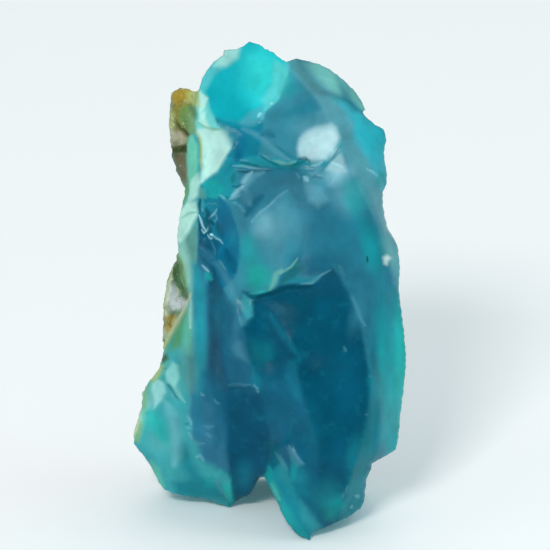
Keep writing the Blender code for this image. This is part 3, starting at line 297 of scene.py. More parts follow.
BACK_RIDGES = {
    "spine": [(-5.2, 100.2, -6.0), (-5.0, 95.0, -11.0), (-3.0, 88.0, -15.4), (0.0, 80.0, -19.4),
        (2.4, 70.0, -24.4), (1.2, 60.0, -28.4), (-1.0, 50.0, -31.2), (1.0, 40.0, -33.2),
        (3.2, 30.0, -35.0), (2.2, 20.0, -36.4), floor(0.5, 11.4)],
    "upper right": [(2.4, 70.0, -24.4), (8.0, 72.4, -21.6), (14.0, 73.4, -17.6), (19.0, 72.6, -12.0),
        (22.5, 71.4, -5.0)],
    "middle right": [(1.0, 40.0, -33.2), (8.0, 43.4, -30.6), (15.0, 44.6, -26.2), (21.0, 45.4, -18.4),
        (25.5, 46.2, -6.4)],
    "right shoulder": [(14.0, 73.4, -17.6), (17.2, 64.0, -19.6), (19.4, 55.0, -20.6),
        (21.0, 45.4, -18.4)],
    "upper left": [(-1.0, 50.0, -31.2), (-7.0, 54.0, -28.8), (-13.0, 57.0, -24.6), (-17.0, 58.8, -18.4),
        (-19.6, 57.8, -11.0)],
    "lobe back": [(3.2, 30.0, -35.0), (-5.0, 28.4, -33.8), (-13.0, 27.4, -31.0), (-20.0, 28.4, -26.0),
        (-24.4, 29.2, -20.6), (-26.8, 29.4, -15.4)],
    "lower right": [(2.2, 20.0, -36.4), (8.0, 22.0, -34.6), (14.0, 21.4, -30.4), (19.0, 19.4, -23.0),
        (22.8, 17.0, -8.4)],
    "rind top": [(-3.0, 88.0, -15.4), (-8.4, 86.6, -18.0), (-14.0, 84.4, -20.0), (-18.2, 82.2, -19.8),
        (-21.4, 83.2, -16.0)],
    "rind border": [(-14.0, 84.4, -20.0), (-12.6, 76.0, -22.8), (-11.6, 67.0, -25.4),
        (-13.0, 57.0, -24.6)],
    "rind border, lower": [(-13.0, 57.0, -24.6), (-14.4, 48.0, -26.6), (-16.4, 38.0, -27.6),
        (-20.0, 28.4, -26.0)],
    "rind ledge": [(-18.2, 82.2, -19.8), (-18.0, 76.0, -20.4), (-16.6, 70.0, -20.8),
        (-18.2, 70.6, -9.4)],
    "right foot, side": [floor(7.0, 0.0), floor(7.6, 2.8), floor(10.2, 5.0), floor(14.2, 7.8),
        floor(16.2, 10.4)],
    "right foot, heel": [floor(16.2, 10.4), floor(12.0, 11.4), floor(6.0, 11.6), floor(0.5, 11.4)],
    "right foot, inner": [floor(0.5, 11.4), floor(1.9, 8.6), floor(3.7, 5.0), floor(5.4, 2.2),
        floor(7.0, 0.0)],
    "left foot, inner": [floor(-9.2, 6.2), floor(-7.6, 8.6), floor(-5.2, 11.0)],
    "left foot, heel": [floor(-5.2, 11.0), floor(-9.0, 12.0), floor(-14.0, 12.2), floor(-19.2, 11.4)],
    "left foot, side": [floor(-19.2, 11.4), floor(-16.0, 10.1), floor(-12.4, 8.8), floor(-10.2, 7.5),
        floor(-9.2, 6.2)],
    "arch": [floor(0.5, 11.4), (-2.0, 14.0, -37.0), floor(-5.2, 11.0)],
    "arch roof": [(-2.2, 12.6, -9.0), (-2.1, 13.1, -22.0), (-2.0, 14.0, -37.0)],
    "arch back": [(-2.0, 14.0, -37.0), (-3.4, 20.0, -35.8), (-5.0, 28.4, -33.8)],
    "right heel": [floor(16.2, 10.4), (18.4, 14.6, -26.5), (19.0, 19.4, -23.0)],
    "left heel": [floor(-14.0, 12.2), (-14.6, 19.0, -34.0), (-13.0, 27.4, -31.0)],
    "lobe shoulder": [floor(-19.2, 11.4), (-22.0, 15.6, -29.0), (-23.6, 21.6, -25.4),
        (-24.4, 29.2, -20.6)],
}

BACK_FACETS = {
    "top right": ((8.0, 84.0), -1.4),
    "right flank": ((20.0, 62.0), -0.8),
    "upper right": ((10.0, 58.0), -2.4),
    "lower right": ((14.0, 34.0), -1.8),
    "top left": ((-10.0, 92.0), -0.8),
    "upper left": ((-6.0, 72.0), -2.0),
    "middle left": ((-8.0, 42.0), -2.2),
    "rind, upper": ((-15.4, 76.0), 1.0),
    "rind, middle": ((-16.8, 64.0), 0.8),
    "rind, lower": ((-20.0, 46.0), 1.2),
    "left lobe": ((-25.6, 20.0), 0.6),
    "left lobe, inner": ((-18.6, 20.0), -1.0),
    "heel, left": ((-9.0, 20.0), -1.0),
    "heel, right": ((10.0, 16.0), -0.8),
}


# Fine ridges and facets that the solid leaves out.
FRONT_RIDGES["bright face, left"] = [(5.4, 76.4, 4.2), (4.7, 79.2, 3.55), (5.4, 82.4, 2.9)]
FRONT_FACETS["upper face"] = ((1.0, 80.6), 0.15)
FRONT_FACETS["bright face"] = ((8.6, 79.6), 0.1)


def ruled(points, step):
    """Return the landmarks with straight runs cut so that no stretch is longer than step."""
    out = []
    for start, end in zip(points[:-1], points[1:]):
        start, end = np.array(start), np.array(end)
        count = max(1, math.ceil(np.linalg.norm((end - start)[:2]) / step))
        out += [start + (end - start) * i / count for i in range(count)]
    return out + [np.array(points[-1])]


def curved(points, step):
    """Return points along a Catmull-Rom curve through the landmarks, ends included."""
    if len(points) < 3:
        return ruled(points, step)
    marks = [np.array(p, dtype=float) for p in points]
    marks = [2 * marks[0] - marks[1]] + marks + [2 * marks[-1] - marks[-2]]
    out = []
    for a, b, c, d in zip(marks, marks[1:], marks[2:], marks[3:]):
        count = max(1, round(np.linalg.norm((c - b)[:2]) / step))
        for i in range(count):
            t = i / count
            out.append(0.5 * (2 * b + (c - a) * t + (2 * a - 5 * b + 4 * c - d) * t ** 2
                              + (3 * b - a - 3 * c + d) * t ** 3))
    return out + [marks[-2]]


RIM_U = [mark[0] for run in OUTLINE.values() for mark in run]
MIDDLE_U = (min(RIM_U) + max(RIM_U)) / 2


def outline_points():
    """Return the whole outline as one closed run of points, without repeating the first."""
    marks = [mark for run in OUTLINE.values() for mark in run]
    return ruled(marks + marks[:1], RIM_STEP)[:-1]


def on_plane(points):
    """Return the points' u and v alone."""
    return np.array([p[:2] for p in points])


def inside(polygon, points):
    """Say for each point whether it lies inside the closed polygon."""
    x, y = points[:, 0], points[:, 1]
    result = np.zeros(len(points), dtype=bool)
    for (x0, y0), (x1, y1) in zip(polygon, np.roll(polygon, -1, axis=0)):
        if y0 == y1:
            continue
        crosses = (y0 > y) != (y1 > y)
        result ^= crosses & (x < (x1 - x0) * (y - y0) / (y1 - y0) + x0)
    return result


def joined_lines(ridges, rim):
    """Return the rim and every ridge as index runs into one list of shared points."""
    points = [np.array(p) for p in rim]
    runs = [list(range(len(rim))) + [0]]
    for marks in ridges.values():
        line = curved(marks, RIDGE_STEP)
        placed = on_plane(points)
        run = []
        for k, p in enumerate(line):
            gap = np.linalg.norm(placed - p[:2], axis=1)
            nearest = int(gap.argmin())
            at_end = k in (0, len(line) - 1)
            if gap[nearest] < (JOIN_REACH if at_end else PASS_REACH * JOIN_REACH):
                if not run or run[-1] != nearest:
                    run.append(nearest)
            else:
                run.append(len(points))
                points.append(p)
        runs.append(run)
    return points, runs


def facet_points(points, rim):
    """Return evenly spaced points inside the outline that keep clear of every line."""
    lines = on_plane(points)
    low, high = lines.min(axis=0), lines.max(axis=0)
    row_height = SPACING * math.sqrt(3) / 2
    rows = []
    for j in range(int((high[1] - low[1]) / row_height) + 1):
        shift = SPACING / 2 * (j % 2)
        across = np.arange(low[0] + shift, high[0], SPACING)
        rows.append(np.column_stack([across, np.full(len(across), low[1] + j * row_height)]))
    grid = np.vstack(rows)
    grid = grid[inside(on_plane(rim), grid)]
    gap = np.linalg.norm(grid[:, None, :] - lines[None, :, :], axis=2).min(axis=1)
    return grid[gap > CLEAR_OF_LINES * SPACING]


def chord_middles(verts, faces, from_verts, rim_count):
    """Return the middle of every inner edge that would bridge two points of the rim."""
    rim = {i for i, sources in enumerate(from_verts) if any(k < rim_count for k in sources)}
    seen = {}
    for face in faces:
        for a, b in zip(face, face[1:] + face[:1]):
            seen[frozenset((a, b))] = seen.get(frozenset((a, b)), 0) + 1
    return [(verts[a] + verts[b]) / 2 for (a, b), uses in
            ((tuple(side), uses) for side, uses in seen.items())
            if uses == 2 and a in rim and b in rim]


def depth_on_lines(spot, lines, points):
    """Return the mean depth, at a spot where lines cross, of the lines that meet there."""
    guesses = []
    for line in lines:
        p, q = (points[k] for k in line)
        span = (q - p)[:2]
        t = np.dot(np.array(spot) - p[:2], span) / np.dot(span, span)
        guesses.append(p[2] + (q[2] - p[2]) * t)
    return float(np.mean(guesses))


def triangulate(points, runs, extra, rim_count):
    """Mesh the plane; return flat points, triangles, creases, known depths and rim numbers."""
    flat = [Vector(p[:2]) for p in points] + [Vector(p) for p in extra]
    edges = [(a, b) for run in runs for a, b in zip(run, run[1:]) if a != b]
    outline = [list(range(rim_count))]
    bridges = True
    while bridges:
        verts, out_edges, faces, from_verts, from_edges, _ = delaunay_2d_cdt(
            flat, edges, outline, INSIDE_ONLY, SAME_POINT)
        bridges = chord_middles(verts, faces, from_verts, rim_count)
        flat += bridges
    depth = np.full(len(verts), np.nan)
    for i, sources in enumerate(from_verts):
        known = [points[k][2] for k in sources if k < len(points)]
        if known:
            depth[i] = known[0]
    creases = set()
    crossing = {}
    for (a, b), sources in zip(out_edges, from_edges):
        inputs = [k for k in sources if k < len(edges)]
        if not inputs:
            continue
        creases.add(frozenset((a, b)))
        for end in (a, b):
            if np.isnan(depth[end]):
                crossing.setdefault(end, set()).update(inputs)
    for i, sources in crossing.items():
        depth[i] = depth_on_lines(verts[i], [edges[k] for k in sources], points)
    origin = [next((k for k in sources if k < rim_count), None) for sources in from_verts]
    return np.array([tuple(v) for v in verts]), [tuple(f) for f in faces], creases, depth, origin


def facets_of(triangles, creases):
    """Number the facets: triangles joined across edges that are not creases."""
    owners = {}
    for t, tri in enumerate(triangles):
        for a, b in zip(tri, tri[1:] + tri[:1]):
            owners.setdefault(frozenset((a, b)), []).append(t)
    label = [-1] * len(triangles)
    current = 0
    for start in range(len(triangles)):
        if label[start] >= 0:
            continue
        label[start] = current
        stack = [start]
        while stack:
            tri = triangles[stack.pop()]
            for a, b in zip(tri, tri[1:] + tri[:1]):
                side = frozenset((a, b))
                if side in creases:
                    continue
                for other in owners[side]:
                    if label[other] < 0:
                        label[other] = current
                        stack.append(other)
        current += 1
    return np.array(label)


def membrane(flat, tri, depth, rise, area):
    """Solve for the unknown depths by conjugate gradients, one stiffness per mesh edge."""
    ends, weights = [], []
    push = np.zeros(len(flat))
    for k in range(3):
        i, j, o = tri[:, k], tri[:, (k + 1) % 3], tri[:, (k + 2) % 3]
        to_i, to_j = flat[i] - flat[o], flat[j] - flat[o]
        cross = np.abs(to_i[:, 0] * to_j[:, 1] - to_i[:, 1] * to_j[:, 0])
        ends.append(np.column_stack([i, j]))
        weights.append(0.5 * (to_i * to_j).sum(axis=1) / np.maximum(cross, NO_AREA))
        np.add.at(push, i, rise * area / 3)
    (i, j), weight = np.vstack(ends).T, np.concatenate(weights)
    count = len(flat)

    def pulled(x):
        """Return how hard each point's neighbours pull it back at these depths."""
        flow = weight * (x[i] - x[j])
        return np.bincount(i, flow, count) - np.bincount(j, flow, count)

    free = np.isnan(depth)
    x = np.where(free, np.nanmean(depth), depth)
    rest = np.where(free, push - pulled(x), 0.0)
    step = rest.copy()
    size = rest @ rest
    for _ in range(SOLVER_STEPS):
        if size < SOLVER_REST * count:
            break
        towards = np.where(free, pulled(step), 0.0)
        gain = size / (step @ towards)
        x += gain * step
        rest -= gain * towards
        new_size = rest @ rest
        step = rest + new_size / size * step
        size = new_size
    return x


def stretch(flat, triangles, creases, depth, facets):
    """Return every depth, and the name of the facet that each triangle belongs to.

    A round membrane that is pushed evenly rises in its middle by push x area / (4 pi).
    """
    tri = np.array(triangles)
    label = facets_of(triangles, creases)
    a, b, c = (flat[tri[:, k]] for k in range(3))
    area = 0.5 * np.abs((b - a)[:, 0] * (c - a)[:, 1] - (b - a)[:, 1] * (c - a)[:, 0])
    middle = (a + b + c) / 3
    rise = np.zeros(len(tri))
    names = np.full(len(tri), "", dtype=object)
    for name, (seed, bulge) in facets.items():
        hit = int(np.linalg.norm(middle - np.array(seed), axis=1).argmin())
        chosen = label == label[hit]
        rise[chosen] = 4 * math.pi * bulge / area[chosen].sum()
        names[chosen] = name
    return membrane(flat, tri, depth, rise, area), names


def sheet(ridges, facets, rim):
    """Return one side of the stone: points, triangles, rim numbers and facet names."""
    points, runs = joined_lines(ridges, rim)
    extra = facet_points(points, rim)
    flat, triangles, creases, depth, origin = triangulate(points, runs, extra, len(rim))
    depth, names = stretch(flat, triangles, creases, depth, facets)
    return np.column_stack([flat, depth]), triangles, origin, names


def whole_stone():
    """Join both sheets along the outline; return marks, triangles, facet names and the side."""
    rim = outline_points()
    front, front_tris, front_rim, front_names = sheet(FRONT_RIDGES, FRONT_FACETS, rim)
    back, back_tris, back_rim, back_names = sheet(BACK_RIDGES, BACK_FACETS, rim)
    at_rim = {number: i for i, number in enumerate(front_rim) if number is not None}
    index = np.zeros(len(back), dtype=int)
    added = []
    for i, number in enumerate(back_rim):
        if number is not None:
            index[i] = at_rim[number]
        else:
            index[i] = len(front) + len(added)
            added.append(back[i])
    marks = np.vstack([front, np.array(added)])
    triangles = np.vstack([np.array(front_tris), index[np.array(back_tris)][:, ::-1]])
    names = np.concatenate([front_names, back_names])
    side = np.concatenate([np.ones(len(front_tris)), np.zeros(len(back_tris))])
    return marks, triangles, names, side


def sides_of(triangles):
    """Return the three sides of every triangle, lower point first."""
    sides = np.vstack([triangles[:, [0, 1]], triangles[:, [1, 2]], triangles[:, [2, 0]]])
    return np.sort(sides, axis=1)


def split_edges(points, triangles, choose):
    """Cut the edges that choose() picks by their middles; return points, triangles, parents."""
    unique, back = np.unique(sides_of(triangles), axis=0, return_inverse=True)
    middles = points[unique].mean(axis=1)
    cut = choose(middles)
    number = np.full(len(unique), -1)
    number[cut] = len(points) + np.arange(cut.sum())
    mids = number[back.reshape(3, -1)].T
    cuts = (mids >= 0).sum(axis=1)
    first = np.where(cuts == 2, (mids < 0).argmax(axis=1) + 1, (mids >= 0).argmax(axis=1))
    turned = (np.arange(3)[None, :] + first[:, None]) % 3
    a, b, c = np.take_along_axis(triangles, turned, axis=1).T
    ab, bc, ca = np.take_along_axis(mids, turned, axis=1).T
    patterns = {0: ((a, b, c),), 1: ((a, ab, c), (ab, b, c)),
                2: ((ab, b, bc), (a, ab, bc), (a, bc, c)),
                3: ((a, ab, ca), (ab, b, bc), (ca, bc, c), (ab, bc, ca))}
    finer, parents = [], []
    for count, corners in patterns.items():
        which = np.flatnonzero(cuts == count)
        for corner in corners:
            finer.append(np.column_stack(corner)[which])
            parents.append(which)
    return np.vstack([points, middles[cut]]), np.vstack(finer), np.concatenate(parents)


def relaxed(values, edges, rounds, pull=0.5):
    """Move each point's values towards its neighbours' mean, a few rounds over."""
    a, b = edges.T
    count = len(values)
    near = np.bincount(a, minlength=count) + np.bincount(b, minlength=count)
    values = values.copy()
    columns = values.reshape(count, -1)
    for _ in range(rounds):
        total = np.column_stack([np.bincount(a, col[b], count) + np.bincount(b, col[a], count)
                                 for col in columns.T])
        columns += pull * (total / near[:, None] - columns)
    return columns.reshape(values.shape)


def point_normals(points, triangles):
    """Return every point's outward direction, from the triangles around it."""
    a, b, c = (points[triangles[:, k]] for k in range(3))
    cross = np.cross(b - a, c - a)
    total = np.column_stack([sum(np.bincount(triangles[:, k], cross[:, axis], len(points))
                                 for k in range(3)) for axis in range(3)])
    return total / np.maximum(np.linalg.norm(total, axis=1), 1e-12)[:, None]


# ---------------------------------------------------------------- colours of the stone

COLOURS = {              # display colours, 0 to 255
    "turquoise": (8, 176, 190), "bright turquoise": (54, 212, 210),
    "deep turquoise": (4, 150, 164), "pale aqua": (116, 206, 204), "mint": (184, 228, 218),
    "window mint": (180, 220, 213), "dome blue": (36, 112, 136), "ink blue": (2, 72, 98),
    "strip blue": (26, 94, 122), "bump blue": (52, 172, 190), "glare": (184, 214, 220),
    "band haze": (84, 146, 160),
    "leaf": (148, 208, 207), "aqua green": (108, 196, 172), "moss": (122, 166, 118),
    "olive": (148, 130, 60), "olive green": (114, 144, 84), "dark olive": (72, 80, 46),
    "sage": (116, 138, 116), "chalk": (204, 208, 186),
    "teal": (18, 120, 144), "bright teal": (30, 142, 156), "sea": (26, 152, 154),
    "blue": (10, 104, 138), "navy": (2, 79, 105), "deep navy": (6, 78, 106),
    "dusk": (14, 90, 118), "ink": (4, 66, 84), "lilac": (44, 110, 138),
    "grey teal": (54, 130, 150), "haze": (96, 156, 174), "pale haze": (146, 198, 212),
    "glint": (186, 240, 250), "edge teal": (2, 152, 160), "edge deep": (0, 98, 120),
    "edge bright": (6, 178, 174),
    "lobe aqua": (62, 160, 167), "lobe teal": (28, 130, 144), "green teal": (14, 116, 130),
    "grey green": (114, 182, 178), "lip green": (130, 184, 154), "pale mint": (176, 220, 206),
    "pale sage": (150, 198, 180), "sage teal": (92, 154, 146), "fern": (88, 154, 92),
    "fern dark": (70, 106, 66), "cloud": (206, 210, 214), "ochre": (168, 140, 48),
    "lime": (178, 186, 118), "bark": (56, 66, 32), "clay": (178, 170, 146), "umber": (105, 95, 70),
    "pale leaf": (136, 204, 200), "bright sea": (48, 176, 172), "sea green": (24, 156, 142),
    "deep teal": (22, 102, 112), "green slate": (72, 134, 142), "slate": (52, 116, 138),
    "white": (226, 238, 236), "black": (8, 20, 24),
}

FRONT_TINTS = {
    "tip scar": "turquoise", "upper window": "pale aqua", "lower window": "window mint",
    "edge wall": "moss", "upper rind": "olive", "rind hollow": "sage",
    "rind wall": "olive green", "lower rind": "sage", "rind rib": "chalk",
    "rind crevice": "olive green", "left side": "lobe aqua", "lobe leaf": "leaf",
    "lobe margin": "aqua green", "hackly hollow": "teal", "splinter bed": "dusk",
    "blue face": "blue", "chip face": "bright teal", "dome": "grey teal",
    # the bright face's haze tint is part of its painted highlight
    "right dome": "dome blue", "upper face": "grey teal", "bright face": "haze",
    "upper face, left": "teal", "brow": "grey teal", "band": "band haze",
    "right bump": "bump blue", "shoulder": "grey green", "shoulder slope": "grey teal",
    "step wall": "bright teal", "rough fan": "grey teal", "wedge": "grey teal",
    "lip wall": "dusk", "left face": "lilac", "middle strip": "ink blue", "lilac strip": "strip blue",
    "pocket": "navy", "deep scar": "navy", "long face": "dusk", "ledge wall": "dusk",
    "navy face": "deep navy", "flake": "lobe teal", "foot edge": "sea",
    "foot band": "lobe teal", "right foot": "green teal",
}

# Soft patches of colour on the front: u, v, half width, half height, turn in degrees, colour,
# strength at the middle.
GLOWS = [
    # left flank and lobe
    (-17.6, 60.5, 2.4, 5.4, 0, "leaf", 0.5),
    (-17.0, 50.0, 1.4, 8.0, 0, "pale aqua", 0.5),
    (-20.0, 30.0, 1.6, 3.0, 10, "grey green", 0.7),
    (-27.8, 22.0, 1.4, 3.0, 0, "moss", 0.7),
    (-23.4, 20.0, 3.4, 4.0, 0, "grey green", 0.35),
    # left block
    (-15.4, 38.0, 1.8, 12.0, 0, "bright teal", 0.8),
    (-11.4, 46.0, 1.8, 7.0, 0, "teal", 0.4),
    (-7.4, 44.0, 1.6, 8.0, -10, "lilac", 0.9),
    (-8.4, 60.2, 1.8, 2.8, -10, "teal", 0.8),
    (-6.2, 12.8, 3.4, 5.0, 0, "teal", 0.8),
    # dome, lobe of the lip, faces above
    (-5.6, 58.6, 2.0, 6.0, -10, "bright teal", 0.7),
    (8.4, 54.6, 5.4, 4.6, 0, "dusk", 0.8),
    (4.0, 56.0, 2.4, 4.0, 0, "dusk", 0.6),
    (2.6, 59.0, 2.6, 4.4, 0, "teal", 0.5),
    (14.4, 69.0, 5.4, 6.4, 30, "haze", 0.8),
    (12.6, 73.4, 4.4, 3.4, 20, "pale haze", 0.75),
    (15.0, 67.0, 1.8, 5.0, 25, "sea", 0.35),
    (17.0, 64.4, 2.4, 8.0, 15, "bright teal", 0.6),
    (8.0, 72.6, 3.0, 2.4, 0, "haze", 0.5),
    (-4.0, 73.0, 5.0, 3.0, 10, "slate", 0.7),
    (3.0, 71.6, 4.4, 3.0, 0, "slate", 0.6),
    # painted highlight of the key light on the bright face
    (7.0, 82.4, 6.0, 3.4, 0, "haze", 0.6),
    (8.6, 79.6, 4.6, 3.8, 10, "pale haze", 0.7),
    (22.6, 58.0, 1.8, 6.0, 20, "grey green", 0.6),
    (21.0, 73.6, 1.6, 4.0, 0, "bump blue", 0.6),
    # right edge, scar and foot; the edge teal and edge bright patches paint the right edge brighter
    # towards its thin rim, a painted glow of light shining through it
    (19.6, 58.0, 3.4, 9.0, 8, "edge teal", 0.7),
    (21.4, 37.0, 3.6, 20.0, 0, "edge teal", 1.0),
    (25.4, 37.0, 3.4, 22.0, 0, "edge bright", 1.0),
    (24.0, 20.0, 3.4, 9.0, 0, "edge teal", 1.0),
    (25.6, 24.0, 2.6, 12.0, 0, "edge bright", 0.5),
    (19.6, 36.0, 1.7, 10.0, -2, "edge deep", 0.85),
    (16.6, 46.0, 2.4, 8.0, -15, "grey teal", 0.5),
    (19.7, 28.0, 1.3, 12.0, -4, "grey teal", 0.7),
    (22.8, 27.0, 2.0, 15.0, -4, "edge teal", 1.0),
    (15.6, 18.0, 2.0, 7.0, -12, "green teal", 0.6),
    (10.4, 8.6, 5.0, 6.0, 0, "lobe teal", 0.8),
    (5.0, 12.0, 3.6, 6.0, 20, "lobe teal", 0.6),
    (8.0, 22.0, 3.0, 8.0, 0, "teal", 0.3),
]

